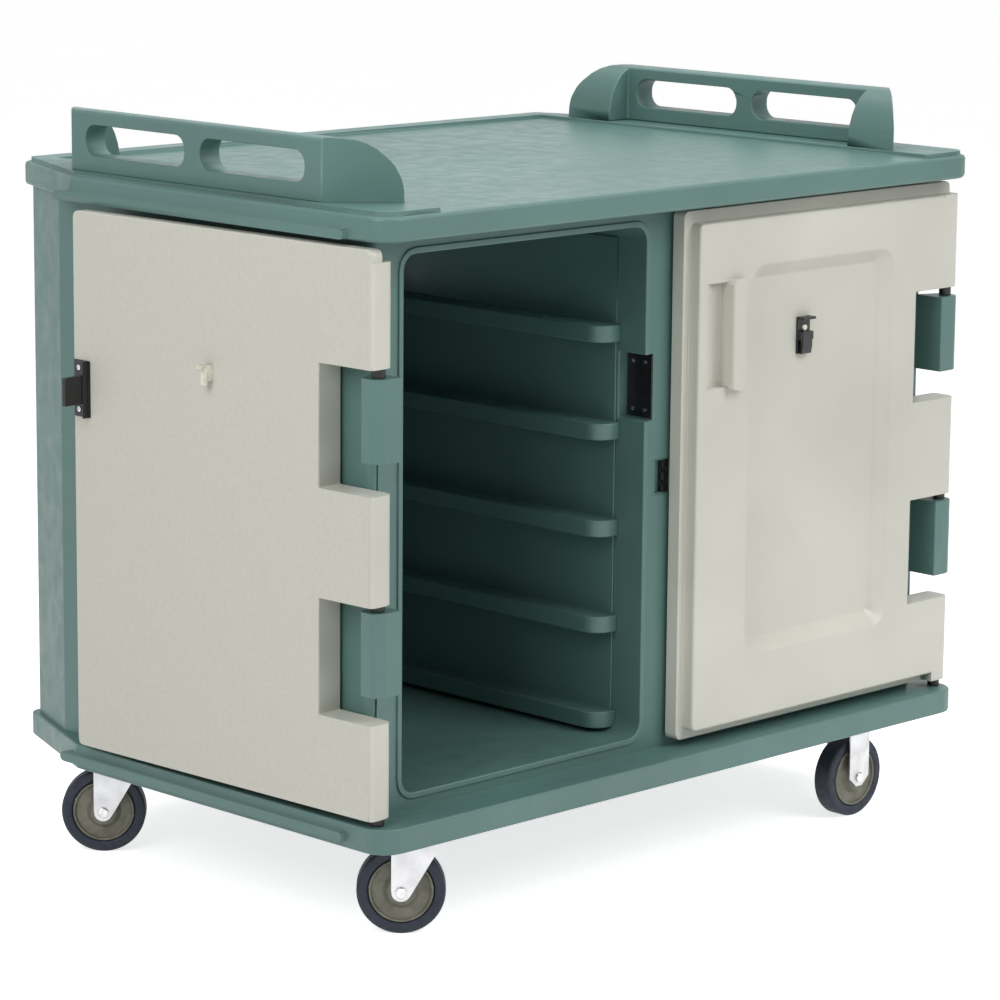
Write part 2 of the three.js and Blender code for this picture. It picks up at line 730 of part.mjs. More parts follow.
function hingePin({ seat, collar }) {
  const reach = PIN_ENGAGEMENT - CLEARANCE;
  const bottom = seat + CLEARANCE;
  const top = seat + collar - CLEARANCE;
  const body = turned([
    [0, seat - reach],
    [PIN_RADIUS, seat - reach],
    [PIN_RADIUS, bottom],
    [COLLAR_RADIUS, bottom],
    [COLLAR_RADIUS, top],
    [PIN_RADIUS, top],
    [PIN_RADIUS, seat + collar + reach - 1],
    [PIN_RADIUS - 1, seat + collar + reach],
    [0, seat + collar + reach],
  ], ROUND_SIDES);
  return body.translate([HINGE_INSET, HINGE_Y, 0]);
}

// block in the well of the centre wall, against its right side, with two slots seen from the front
function centreKeeper() {
  const right = MIDDLE + KEEPER_WELL_WIDTH / 2 - CLEARANCE;
  const rear = BODY_FRONT + KEEPER_WELL_DEPTH - CLEARANCE;
  const half = KEEPER_WELL_HEIGHT / 2 - CLEARANCE;
  const body = block(right - KEEPER_WIDTH, right, rear - KEEPER_DEPTH, rear, KEEPER_Z - half, KEEPER_Z + half);
  const slots = [-1, 1].map((side) => {
    const z = KEEPER_Z + (side * KEEPER_SLOT_SPACING) / 2;
    return block(
      right - KEEPER_WIDTH - OVERRUN,
      right - KEEPER_WIDTH / 3,
      rear - KEEPER_DEPTH - OVERRUN,
      rear - KEEPER_DEPTH / 2,
      z - KEEPER_SLOT_HEIGHT / 2,
      z + KEEPER_SLOT_HEIGHT / 2,
    );
  });
  return cut(body, slots);
}

// ------------------------------------------------------------------ doors, in the door's own frame

// The hollow in the panel's front, with slanted sides down to its flat floor. A grown one is deeper,
// and its floor draws in a little, so that the sheet between the two is as thick on the sides.
function recess(grow) {
  const margin = RECESS_SLOPE - grow / 2;
  const floor = rectangle(
    RECESS_HINGE_MARGIN + margin,
    FREE_EDGE - RECESS_FREE_MARGIN - margin,
    RECESS_TOP_MARGIN + margin - DOOR_TOP,
    -DOOR_BOTTOM - RECESS_BOTTOM_MARGIN - margin,
    RECESS_RADIUS,
  );
  const geometry = new THREE.ExtrudeGeometry(floor, {
    depth: OVERRUN,
    bevelEnabled: true,
    bevelThickness: RECESS_DEPTH + grow,
    bevelSize: RECESS_SLOPE + grow,
    bevelSegments: 1,
    curveSegments: CORNER_STEPS,
  });
  geometry.translate(0, 0, DOOR_FACE - OVERRUN);
  return solid(geometry).rotate([-90, 0, 0]);
}

// finger hollow beside the pull bar: straight down along the bar, sloping out towards the free edge
function fingerHollow(grow) {
  const side = FREE_EDGE - PULL_FREE_MARGIN - grow;
  const floor = DOOR_FACE + HOLLOW_DEPTH + grow;
  const middle = RIM_TOP + PULL_LEVEL;
  const half = PULL_HEIGHT / 2 - SKIN + grow;
  const shape = outline([
    [side, DOOR_FACE - OVERRUN],
    [side + HOLLOW_WIDTH + 2 * grow, DOOR_FACE - OVERRUN],
    [side + HOLLOW_WIDTH + 2 * grow, DOOR_FACE],
    [side + HOLLOW_FLOOR + 2 * grow, floor],
    [side, floor],
  ]);
  return prism(shape, 'z', middle - half, middle + half);
}

function pullBar() {
  const right = FREE_EDGE - PULL_FREE_MARGIN;
  const middle = RIM_TOP + PULL_LEVEL;
  const front = DOOR_FACE - PULL_REACH;
  const face = rectangle(right - PULL_WIDTH, right, middle - PULL_HEIGHT / 2, middle + PULL_HEIGHT / 2, 8);
  const across = outline([
    [right - PULL_WIDTH - 4, DOOR_FACE + OVERRUN],
    [right - PULL_WIDTH, front, 10],
    [right, front, 4],
    [right, DOOR_FACE + OVERRUN],
  ]);
  const bar = prism(across, 'z', middle - PULL_HEIGHT / 2, middle + PULL_HEIGHT / 2);
  return bar.intersect(prism(face, 'y', front - OVERRUN, DOOR_FACE + 2 * OVERRUN));
}

// height ranges where the door is cut back to clear a knuckle of the cabinet
function notches() {
  return [
    [LOWER_KNUCKLE.bottom - LOWER_LIFT_GAP, LOWER_KNUCKLE.top + LOWER_COLLAR],
    [UPPER_KNUCKLE.bottom - UPPER_LIFT_GAP, UPPER_KNUCKLE.top + UPPER_COLLAR],
  ];
}

function doorFlange(inset, from, to) {
  const shape = rectangle(
    inset > 0 ? NOTCH_DEPTH + inset : 4 - DOOR_BARREL,
    FREE_EDGE - inset,
    DOOR_BOTTOM + inset,
    DOOR_TOP - inset,
    Math.max(FLANGE_RADIUS - inset, 2),
  );
  return prism(shape, 'y', from, to);
}

function doorPanel(inset, from, to) {
  const shape = rectangle(
    inset > 0 ? NOTCH_DEPTH + inset : 0,
    FREE_EDGE - PANEL_INSET - inset,
    DOOR_BOTTOM + PANEL_INSET + inset,
    BARREL_TOP - inset,
    Math.max(FLANGE_RADIUS - inset, 2),
  );
  return prism(shape, 'y', from, to);
}

function doorCavity(inset, clipReach) {
  const flange = doorFlange(inset, FLANGE_FACE + inset, DOOR_BACK - inset);
  const panel = doorPanel(inset, DOOR_FACE + inset, FLANGE_FACE + inset + OVERRUN);
  const sleeve = rod('y', clipReach, CLIP_Z, STEM_RADIUS + inset, DOOR_FACE, DOOR_BACK);
  return cut(flange.add(panel), [recess(inset), fingerHollow(inset), sleeve]);
}

function latchScrewPlaces() {
  return [-1, 1].map((side) => ({
    name: side < 0 ? 'lower' : 'upper',
    x: FREE_EDGE - BRACKET_FREE_MARGIN - BRACKET_WIDTH / 3,
    z: LATCH_Z + (side * SCREW_SPACING) / 2,
  }));
}

function doorSkin(clipReach) {
  const flange = doorFlange(0, FLANGE_FACE, DOOR_BACK);
  const panelBack = doorPanel(0, DOOR_FACE + PANEL_EDGE_RADIUS, FLANGE_FACE + OVERRUN);
  const rounded = rectangle(0, FREE_EDGE - PANEL_INSET, -BARREL_TOP, -DOOR_BOTTOM - PANEL_INSET, FLANGE_RADIUS);
  const panelFront = slab(rounded, DOOR_FACE, FLANGE_FACE, PANEL_EDGE_RADIUS).rotate([-90, 0, 0]);
  const barrel = prism(
    outline([
      [-DOOR_BARREL, DOOR_FACE, DOOR_BARREL],
      [BARREL_WIDTH, DOOR_FACE],
      [BARREL_WIDTH, DOOR_BACK],
      [-DOOR_BARREL, DOOR_BACK, 8],
    ]),
    'z',
    DOOR_BOTTOM,
    BARREL_TOP,
    BARREL_STEPS,
  );
  const whole = union([flange, panelBack, panelFront, barrel, pullBar()]);
  const gaps = notches().map(([bottom, top]) =>
    block(-DOOR_BARREL - OVERRUN, NOTCH_DEPTH, DOOR_FACE - OVERRUN, DOOR_BACK + OVERRUN, bottom, top),
  );
  const bores = Object.values(PINS).map(({ seat, collar }) => {
    const bottom = seat + collar;
    return rod('z', 0, 0, PIN_RADIUS + CLEARANCE, bottom - OVERRUN, bottom + PIN_ENGAGEMENT + CLEARANCE);
  });
  const screwHoles = latchScrewPlaces().map(({ x, z }) =>
    rod('y', x, z, SCREW_RADIUS + CLEARANCE, DOOR_BACK - SKIN - OVERRUN, DOOR_BACK + OVERRUN, SMALL_SIDES),
  );
  const stemHole = rod('y', clipReach, CLIP_Z, STEM_RADIUS + CLEARANCE, DOOR_FACE - OVERRUN, DOOR_BACK + OVERRUN);
  const vent = rod(
    'z',
    FREE_EDGE / 2,
    (FLANGE_FACE + DOOR_BACK) / 2,
    DOOR_VENT / 2,
    DOOR_BOTTOM - OVERRUN,
    DOOR_BOTTOM + SKIN + OVERRUN,
  );
  const hollows = [recess(0), fingerHollow(0), doorCavity(SKIN, clipReach)];
  return cut(whole, [...gaps, ...hollows, ...bores, ...screwHoles, stemHole, vent]);
}

function latchBracket() {
  const right = FREE_EDGE - BRACKET_FREE_MARGIN;
  const left = right - BRACKET_WIDTH;
  const face = DOOR_BACK + CLEARANCE;
  const half = BRACKET_HEIGHT / 2;
  const base = block(left, right, face, face + BRACKET_THICKNESS, LATCH_Z - half, LATCH_Z + half);
  const legLeft = left + BRACKET_LIP;
  const leg = block(legLeft, legLeft + BRACKET_THICKNESS, face, face + BRACKET_LEG, LATCH_Z - half, LATCH_Z + half);
  const holes = latchScrewPlaces().map(({ x, z }) =>
    rod('y', x, z, SCREW_RADIUS + CLEARANCE, face - OVERRUN, face + BRACKET_THICKNESS + OVERRUN, SMALL_SIDES),
  );
  return cut(base.add(leg), holes);
}

// the magnet's outer face leans in along the swing of the door, so its tip clears the strike plate
function latchMagnet() {
  const bracketLeft = FREE_EDGE - BRACKET_FREE_MARGIN - BRACKET_WIDTH;
  const left = bracketLeft + BRACKET_LIP + BRACKET_THICKNESS + CLEARANCE;
  const root = DOOR_BACK + BRACKET_THICKNESS + 2 * CLEARANCE;
  const tip = root + MAGNET_REACH;
  const rootRight = STRIKE_FACE - HINGE_INSET - 2 * CLEARANCE;
  const swing = Math.hypot(rootRight, root);
  const tipRight = Math.sqrt(swing ** 2 - tip ** 2);
  const shape = outline([
    [left, root],
    [rootRight, root],
    [tipRight, tip],
    [left, tip],
  ]);
  return prism(shape, 'z', LATCH_Z - MAGNET_HEIGHT / 2, LATCH_Z + MAGNET_HEIGHT / 2);
}

function latchScrew({ x, z }) {
  const body = turned([
    [0, -BRACKET_THICKNESS - SCREW_LENGTH + SCREW_HEAD_HEIGHT],
    [SCREW_RADIUS, -BRACKET_THICKNESS - SCREW_LENGTH + SCREW_HEAD_HEIGHT],
    [SCREW_RADIUS, CLEARANCE],
    [SCREW_HEAD_RADIUS, CLEARANCE],
    [SCREW_HEAD_RADIUS * 0.75, CLEARANCE + SCREW_HEAD_HEIGHT * 0.75],
    [0, CLEARANCE + SCREW_HEAD_HEIGHT],
  ], SMALL_SIDES);
  const seat = DOOR_BACK + CLEARANCE + BRACKET_THICKNESS;
  return body.rotate([-90, 0, 0]).translate([x, seat, z]);
}

function clipBody() {
  const back = RECESS_FLOOR - CLEARANCE;
  const front = back - CLIP_PLATE;
  const half = CLIP_WIDTH / 2;
  const plate = block(-half, half, front, back, CLIP_Z - CLIP_BELOW, CLIP_Z + CLIP_ABOVE);
  const hook = block(
    -half,
    half,
    front - CLIP_HOOK_REACH,
    back,
    CLIP_Z + CLIP_ABOVE - CLIP_HOOK_THICKNESS,
    CLIP_Z + CLIP_ABOVE,
  );
  const pivotY = back - PIVOT_OUT;
  const pivotZ = CLIP_Z - PIVOT_BELOW;
  const earShape = rectangle(pivotY - EAR_HEIGHT / 4, back, pivotZ - EAR_HEIGHT / 2, pivotZ + EAR_HEIGHT / 2);
  const ears = [-half, half - EAR_THICKNESS].map((x) => prism(earShape, 'x', x, x + EAR_THICKNESS));
  const stem = rod('y', 0, CLIP_Z, STEM_RADIUS + CLEARANCE, front - OVERRUN, back + OVERRUN);
  const pivot = rod('x', pivotY, pivotZ, PIVOT_RADIUS + CLEARANCE, -half - OVERRUN, half + OVERRUN, SMALL_SIDES);
  return cut(union([plate, hook, ...ears]), [stem, pivot]);
}

// jaw that turns on two stub pivots in the ears of the clip; its lower tip grips the card
function clipJaw() {
  const back = RECESS_FLOOR - CLEARANCE;
  const grip = back - CLIP_PLATE - CLEARANCE;
  const front = back - JAW_OUT;
  const pivotY = back - PIVOT_OUT;
  const pivotZ = CLIP_Z - PIVOT_BELOW;
  const top = CLIP_Z - STEM_RADIUS - JAW_GAP;
  const half = CLIP_WIDTH / 2 - EAR_THICKNESS - CLEARANCE;
  const profile = outline([
    [front, top],
    [front, top - JAW_BLOCK_HEIGHT],
    [front + 2, CLIP_Z - CLIP_BELOW],
    [grip, CLIP_Z - CLIP_BELOW],
    [pivotY + 2, top - JAW_BLOCK_HEIGHT],
    [pivotY + 2, top],
  ].reverse());
  const jaw = prism(profile, 'x', -half, half);
  const pivot = rod('x', pivotY, pivotZ, PIVOT_RADIUS, -CLIP_WIDTH / 2, CLIP_WIDTH / 2, SMALL_SIDES);
  return jaw.add(pivot);
}

// white retainer: a stem through the door, a block and a hooked plate on its inner face
function clipRetainer() {
  const half = RETAINER_WIDTH / 2;
  const face = DOOR_BACK + CLEARANCE;
  const plate = face + RETAINER_BLOCK;
  const top = CLIP_Z + RETAINER_ABOVE;
  const bottom = CLIP_Z - RETAINER_BELOW;
  const stem = rod('y', 0, CLIP_Z, STEM_RADIUS, RECESS_FLOOR - STEM_OUT, face + OVERRUN);
  const base = block(-half, half, face, plate, bottom + 6, top);
  const front = block(-half, half, plate, plate + RETAINER_PLATE, bottom, top);
  const hook = block(-half, half, plate, plate + RETAINER_PLATE + RETAINER_HOOK, top - 5, top);
  return union([stem, base, front, hook]);
}

function door(side, clipReach) {
  const mirrored = side === 'right';
  const place = (body) => (mirrored ? body.mirror([1, 0, 0]) : body);
  const clip = (body) => place(body.translate([clipReach, 0, 0]));
  const group = new THREE.Group();
  group.add(
    part(`${side}_door_skin`, place(doorSkin(clipReach)), 'door'),
    part(`${side}_door_foam`, place(doorCavity(SKIN + CLEARANCE, clipReach)), 'foam'),
    part(`${side}_latch_bracket`, place(latchBracket()), 'strike'),
    part(`${side}_latch_magnet`, place(latchMagnet()), 'magnet'),
    part(`${side}_menu_clip_body`, clip(clipBody()), 'nylon'),
    part(`${side}_menu_clip_jaw`, clip(clipJaw()), 'nylon'),
    part(`${side}_menu_clip_retainer`, clip(clipRetainer()), 'white'),
  );
  for (const screw of latchScrewPlaces()) {
    group.add(part(`${side}_latch_screw_${screw.name}`, place(latchScrew(screw)), 'steel'));
  }
  return group;
}

// ------------------------------------------------------------------ casters, round their own mounting point
// x runs along the wheel's rolling direction, y along its axle, z is the height over the floor.

function tyre() {
  const half = TYRE_WIDTH / 2;
  const inner = HUB_RADIUS + CLEARANCE;
  const shoulder = WHEEL_RADIUS - 5;
  const body = turned([
    [inner, -half],
    [shoulder, -half],
    [WHEEL_RADIUS - 1.2, -half + 4],
    [WHEEL_RADIUS, -half + 10],
    [WHEEL_RADIUS, half - 10],
    [WHEEL_RADIUS - 1.2, half - 4],
    [shoulder, half],
    [inner, half],
    [inner, -half],
  ]);
  return body.rotate([90, 0, 0]);
}

function hub() {
  const half = TYRE_WIDTH / 2;
  const boss = LEG_GAP / 2 - CLEARANCE;
  const web = HUB_WEB / 2;
  const bore = AXLE_RADIUS + CLEARANCE;
  const rim = HUB_RADIUS - 7;
  const body = turned([
    [bore, -boss],
    [HUB_BOSS_RADIUS, -boss],
    [HUB_BOSS_RADIUS + 2, -web],
    [rim - 3, -web],
    [rim, -half],
    [HUB_RADIUS, -half],
    [HUB_RADIUS, half],
    [rim, half],
    [rim - 3, web],
    [HUB_BOSS_RADIUS + 2, web],
    [HUB_BOSS_RADIUS, boss],
    [bore, boss],
    [bore, -boss],
  ]);
  return body.rotate([90, 0, 0]);
}

// axle with a low head at each end, riveted over the legs
function axle() {
  const seat = LEG_GAP / 2 + LEG_THICKNESS + CLEARANCE;
  const end = seat + AXLE_HEAD_HEIGHT;
  const body = turned([
    [0, -end],
    [AXLE_HEAD_RADIUS - 1, -end],
    [AXLE_HEAD_RADIUS, 1 - end],
    [AXLE_HEAD_RADIUS, -seat],
    [AXLE_RADIUS, -seat],
    [AXLE_RADIUS, seat],
    [AXLE_HEAD_RADIUS, seat],
    [AXLE_HEAD_RADIUS, end - 1],
    [AXLE_HEAD_RADIUS - 1, end],
    [0, end],
  ], ROUND_SIDES);
  return body.rotate([90, 0, 0]);
}

// side view of a leg: a round end under the axle, flaring up to the crown
function legShape(left, right, top, axleX) {
  const shape = new THREE.Shape();
  shape.moveTo(right, top);
  shape.lineTo(left, top);
  shape.absarc(axleX, AXLE_Z, LEG_END_RADIUS, 1.15 * Math.PI, 2 * Math.PI, false);
  shape.closePath();
  return shape;
}

function legs(shape, axleX) {
  const inner = LEG_GAP / 2;
  const outer = inner + LEG_THICKNESS;
  const pair = prism(shape, 'y', inner, outer, 4).add(prism(shape, 'y', -outer, -inner, 4));
  return pair.subtract(rod('y', axleX, AXLE_Z, AXLE_RADIUS + CLEARANCE, -outer - OVERRUN, outer + OVERRUN));
}

function mountingPlate() {
  const top = BASE_BOTTOM - CLEARANCE;
  const shape = rectangle(-PLATE_LENGTH / 2, PLATE_LENGTH / 2, -PLATE_WIDTH / 2, PLATE_WIDTH / 2, 8);
  return prism(shape, 'z', top - CASTER_PLATE, top);
}

const PLATE_BOTTOM = BASE_BOTTOM - CLEARANCE - CASTER_PLATE;
const CROWN_TOP = PLATE_BOTTOM - SWIVEL_GAP;
const CROWN_BOTTOM = CROWN_TOP - LEG_THICKNESS;

function swivelPlate() {
  const pin = turned([
    [0, CROWN_BOTTOM - CLEARANCE - KINGPIN_HEAD_HEIGHT],
    [KINGPIN_HEAD_RADIUS - 2, CROWN_BOTTOM - CLEARANCE - KINGPIN_HEAD_HEIGHT],
    [KINGPIN_HEAD_RADIUS, CROWN_BOTTOM - CLEARANCE - KINGPIN_HEAD_HEIGHT / 2],
    [KINGPIN_HEAD_RADIUS, CROWN_BOTTOM - CLEARANCE],
    [KINGPIN_RADIUS, CROWN_BOTTOM - CLEARANCE],
    [KINGPIN_RADIUS, PLATE_BOTTOM + OVERRUN],
    [0, PLATE_BOTTOM + OVERRUN],
  ], ROUND_SIDES);
  return mountingPlate().add(pin);
}

function swivelFork() {
  const outer = LEG_GAP / 2 + LEG_THICKNESS;
  const right = TRAIL + LEG_END_RADIUS;
  const left = right - LEG_WIDTH - LEG_END_RADIUS;
  const crown = prism(rectangle(left, right, -outer, outer, 4), 'z', CROWN_BOTTOM, CROWN_TOP);
  const race = turned([
    [0, CROWN_TOP - OVERRUN],
    [RACE_RADIUS, CROWN_TOP - OVERRUN],
    [RACE_RADIUS, PLATE_BOTTOM - 3],
    [RACE_RADIUS - 3, PLATE_BOTTOM - CLEARANCE],
    [0, PLATE_BOTTOM - CLEARANCE],
  ], ROUND_SIDES);
  const shape = legShape(left, right, CROWN_BOTTOM + OVERRUN, TRAIL);
  const bore = rod('z', 0, 0, KINGPIN_RADIUS + CLEARANCE, CROWN_BOTTOM - OVERRUN, PLATE_BOTTOM + OVERRUN);
  return union([crown, race, legs(shape, TRAIL)]).subtract(bore);
}

function rigidBracket() {
  const half = RIGID_LEG_WIDTH / 2;
  const shape = outline([
    [half, PLATE_BOTTOM + OVERRUN],
    [-half, PLATE_BOTTOM + OVERRUN],
    [-half, AXLE_Z],
    [-LEG_END_RADIUS / 2, AXLE_Z - LEG_END_RADIUS],
    [LEG_END_RADIUS / 2, AXLE_Z - LEG_END_RADIUS],
    [half, AXLE_Z],
  ]);
  return mountingPlate().add(legs(shape, 0));
}

function wheelParts(prefix, axleX) {
  const at = (body) => body.translate([axleX, 0, AXLE_Z]);
  return [
    part(`${prefix}_tyre`, at(tyre()), 'tyre'),
    part(`${prefix}_hub`, at(hub()), 'hub'),
    part(`${prefix}_axle`, at(axle()), 'steel'),
  ];
}

function swivelCaster(prefix, x, y) {
  const group = new THREE.Group();
  group.position.set(x, y, 0);
  const turning = new THREE.Group();
  turning.rotation.z = THREE.MathUtils.degToRad(SWIVEL_HEADING);
  turning.add(part(`${prefix}_caster_fork`, swivelFork(), 'zinc'), ...wheelParts(prefix, TRAIL));
  group.add(part(`${prefix}_caster_plate`, swivelPlate(), 'zinc'), turning);
  return group;
}

function rigidCaster(prefix, x, y) {
  const group = new THREE.Group();
  group.position.set(x, y, 0);
  group.add(part(`${prefix}_caster_bracket`, rigidBracket(), 'zinc'), ...wheelParts(prefix, 0));
  return group;
}

// ------------------------------------------------------------------ the cart

const cart = new THREE.Group();
cart.add(
  part('cabinet_shell', cabinetShell(), 'shell'),
  part('left_tray_liner', trayLiner(), 'shell'),
  part('right_tray_liner', acrossCart(trayLiner()), 'shell'),
  part('left_handle', endHandle(), 'shell'),
  part('right_handle', acrossCart(endHandle()), 'shell'),
  part('centre_keeper', centreKeeper(), 'nylon'),
);

for (const side of ['left', 'right']) {
  const place = (body) => (side === 'right' ? acrossCart(body) : body);
  cart.add(part(`${side}_strike_plate`, place(strikePlate()), 'strike'));
  for (const rivet of rivetPlaces()) {
    cart.add(part(`${side}_strike_rivet_${rivet.name}`, place(strikeRivet(rivet)), 'steel'));
  }
  for (const [level, pin] of Object.entries(PINS)) {
    cart.add(part(`${side}_hinge_pin_${level}`, place(hingePin(pin)), 'nylon'));
  }
}

const leftDoor = door('left', LEFT_CLIP_REACH);
leftDoor.position.set(HINGE_INSET, HINGE_Y, 0);
leftDoor.rotation.z = LEFT_DOOR_HEADING;
const rightDoor = door('right', RIGHT_CLIP_REACH);
rightDoor.position.set(LENGTH - HINGE_INSET, HINGE_Y, 0);

cart.add(
  leftDoor,
  rightDoor,
  swivelCaster('front_left', FRONT_SWIVEL_X, FRONT_CASTER),
  swivelCaster('rear_left', REAR_SWIVEL_X, DEPTH - REAR_CASTER),
  rigidCaster('front_right', LENGTH - RIGID_X, FRONT_CASTER),
  rigidCaster('rear_right', LENGTH - RIGID_X, DEPTH - REAR_CASTER),
);

// stand the cart over the origin, with the middle of its box on the floor's centre
cart.updateMatrixWorld(true);
const box = new THREE.Box3().setFromObject(cart, true);
const centre = box.getCenter(new THREE.Vector3());
cart.position.set(-centre.x, -centre.y, -box.min.z);
cart.updateMatrixWorld(true);

export default cart;
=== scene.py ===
# %% [markdown]
# # An enclosed meal tray cart
# The imported model is loaded first. It is the frame: every piece made here takes its place from it and
# rides on one of its bodies. The box of the model is kept, and the camera is placed from it.

import json
from math import pi, radians

import bpy
from mathutils import Matrix, Vector
from mathutils.bvhtree import BVHTree
from mathutils.geometry import intersect_point_line


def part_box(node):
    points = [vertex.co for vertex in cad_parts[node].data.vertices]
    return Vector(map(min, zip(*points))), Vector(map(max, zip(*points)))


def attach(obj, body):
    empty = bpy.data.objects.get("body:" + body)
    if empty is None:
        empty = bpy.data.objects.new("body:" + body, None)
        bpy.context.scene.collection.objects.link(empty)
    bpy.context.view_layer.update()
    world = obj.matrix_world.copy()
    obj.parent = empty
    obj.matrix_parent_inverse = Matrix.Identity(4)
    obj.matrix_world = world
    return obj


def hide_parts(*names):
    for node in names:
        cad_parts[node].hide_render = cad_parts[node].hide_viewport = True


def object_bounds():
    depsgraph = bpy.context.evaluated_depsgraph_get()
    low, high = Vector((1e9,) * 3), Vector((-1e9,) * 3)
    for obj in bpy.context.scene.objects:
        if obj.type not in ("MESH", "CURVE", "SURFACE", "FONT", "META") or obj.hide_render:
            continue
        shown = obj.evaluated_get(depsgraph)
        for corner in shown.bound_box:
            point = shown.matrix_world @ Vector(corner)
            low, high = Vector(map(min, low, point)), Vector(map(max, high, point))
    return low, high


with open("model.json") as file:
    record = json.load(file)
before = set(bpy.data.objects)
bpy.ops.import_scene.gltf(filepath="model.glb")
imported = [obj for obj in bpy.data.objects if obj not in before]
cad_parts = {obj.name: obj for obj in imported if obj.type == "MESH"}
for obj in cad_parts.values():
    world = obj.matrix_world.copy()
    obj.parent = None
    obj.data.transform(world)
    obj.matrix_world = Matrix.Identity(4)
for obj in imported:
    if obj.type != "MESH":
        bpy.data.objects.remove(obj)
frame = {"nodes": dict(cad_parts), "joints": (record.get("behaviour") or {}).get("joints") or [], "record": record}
nodes = frame["nodes"]
joints = {joint["name"]: joint for joint in frame["joints"]}
body_of_node = {
    node: body
    for body, members in frame["record"]["behaviour"]["bodies"].items()
    for node in members
}
cad_box = [list(corner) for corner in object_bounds()]
MM = 0.001

# %% [markdown]
# ## Camera
# The camera stands well back with a long lens, in front of the left corner and a little above the deck.
# Turning, tipping and rolling are written as three angles, and the place follows from the corner of the
# cabinet, so that the numbers can be read as a tripod would be set up.

# %% Set up the camera
CART_LEFT = cad_box[1][0] - 1.258
CART_FRONT = cad_box[0][1]
CAMERA_BESIDE = 3.6417
CAMERA_BEFORE = 3.8680
CAMERA_HEIGHT = 1.6913
LENS = 144.7
TURN = radians(-44.95)
TIP = radians(90 - 11.0)
ROLL = radians(0.51)

camera_data = bpy.data.cameras.new("photo_camera")
camera_data.lens = LENS
camera_data.sensor_width = 36.0
camera_data.clip_end = 200.0
camera = bpy.data.objects.new("photo_camera", camera_data)
bpy.context.scene.collection.objects.link(camera)
camera.location = (CART_LEFT - CAMERA_BESIDE, CART_FRONT - CAMERA_BEFORE, CAMERA_HEIGHT)
turning = Matrix.Rotation(TURN, 3, "Z") @ Matrix.Rotation(TIP, 3, "X") @ Matrix.Rotation(ROLL, 3, "Z")
camera.rotation_euler = turning.to_euler()
bpy.context.scene.camera = camera
bpy.context.scene.view_settings.view_transform = "Standard"
print("camera at", [round(value, 3) for value in camera.location])

# %% [markdown]
# ## Helpers for modelling
# Each operator acts on what is selected, so a piece is always taken by itself first. Faces are picked in
# code by their middle and their normal, as one would click them in edit mode.

# %% Select, pick and place
def take(*pieces):
    """Leaves only these objects selected, with the first one active."""
    if bpy.context.mode != "OBJECT":
        bpy.ops.object.mode_set(mode="OBJECT")
    bpy.ops.object.select_all(action="DESELECT")
    for piece in pieces:
        piece.select_set(True)
    bpy.context.view_layer.objects.active = pieces[0]


def pick_faces(piece, wanted):
    """Selects the faces for which wanted(centre, normal) is true, and enters edit mode."""
    take(piece)
    bpy.context.tool_settings.mesh_select_mode = (False, False, True)
    bpy.ops.object.mode_set(mode="EDIT")
    bpy.ops.mesh.select_all(action="DESELECT")
    bpy.ops.object.mode_set(mode="OBJECT")
    for face in piece.data.polygons:
        face.select = bool(wanted(face.center, face.normal))
    bpy.ops.object.mode_set(mode="EDIT")


def settle(piece, place=None):
    """Moves a piece made at the origin to its place, and puts that place in its mesh."""
    take(piece)
    if place is not None:
        piece.matrix_world = place
    bpy.ops.object.transform_apply(location=True, rotation=True, scale=True)
    bpy.ops.object.mode_set(mode="EDIT")
    bpy.ops.mesh.select_all(action="SELECT")
    bpy.ops.mesh.remove_doubles(threshold=0.00001)
    bpy.ops.mesh.normals_make_consistent(inside=False)
    bpy.ops.object.mode_set(mode="OBJECT")


# %% Find the edges to round and the room they have
def sharp_edges(mesh, angle):
    """The edges at which two faces meet at more than this angle."""
    sides = {}
    for face in mesh.polygons:
        for key in face.edge_keys:
            sides.setdefault(key, []).append(face.normal)
    for edge in mesh.edges:
        pair = sides.get(edge.key, [])
        if len(pair) == 2 and pair[0].angle(pair[1], 0.0) > angle:
            yield edge


def corner_room(mesh, most):
    """The shortest edge at each corner, but at most this much."""
    room = [most] * len(mesh.vertices)
    for edge in mesh.edges:
        first, second = edge.vertices
        length = (mesh.vertices[first].co - mesh.vertices[second].co).length
        room[first] = min(room[first], length)
        room[second] = min(room[second], length)
    return room


def near_line(point, start, end):
    """How far a point is from an edge."""
    foot, share = intersect_point_line(point, start, end)
    if share < 0:
        foot = start
    elif share > 1:
        foot = end
    return (point - foot).length


# %% Find where a rounded mesh has left the mesh that it came from
SMALLEST_FACE = 0.05 * MM * MM
SAME_PLACE = 0.01 * MM


def search_tree(mesh):
    """A tree in which the nearest point of a mesh is found quickly."""
    corners = [vertex.co for vertex in mesh.vertices]
    return BVHTree.FromPolygons(corners, [face.vertices for face in mesh.polygons])


def faults(mesh, before, width):
    """Points of triangles that lie off the first surface, or look away from it."""
    mesh.calc_loop_triangles()
    found = []
    for triangle in mesh.loop_triangles:
        if triangle.area < SMALLEST_FACE:
            continue
        corners = [mesh.vertices[index].co for index in triangle.vertices]
        for point in (*corners, sum(corners, Vector()) / 3):
            place, normal, _, distance = before.find_nearest(point)
            looks_away = distance < SAME_PLACE and normal.dot(triangle.normal) < -0.5
            if distance > 1.1 * width or looks_away:
                found.append(point.copy())
    return found


# %% Round the edges and set the shading
ROUNDING_SHARE = 0.4
ROUNDING_TRIES = 5


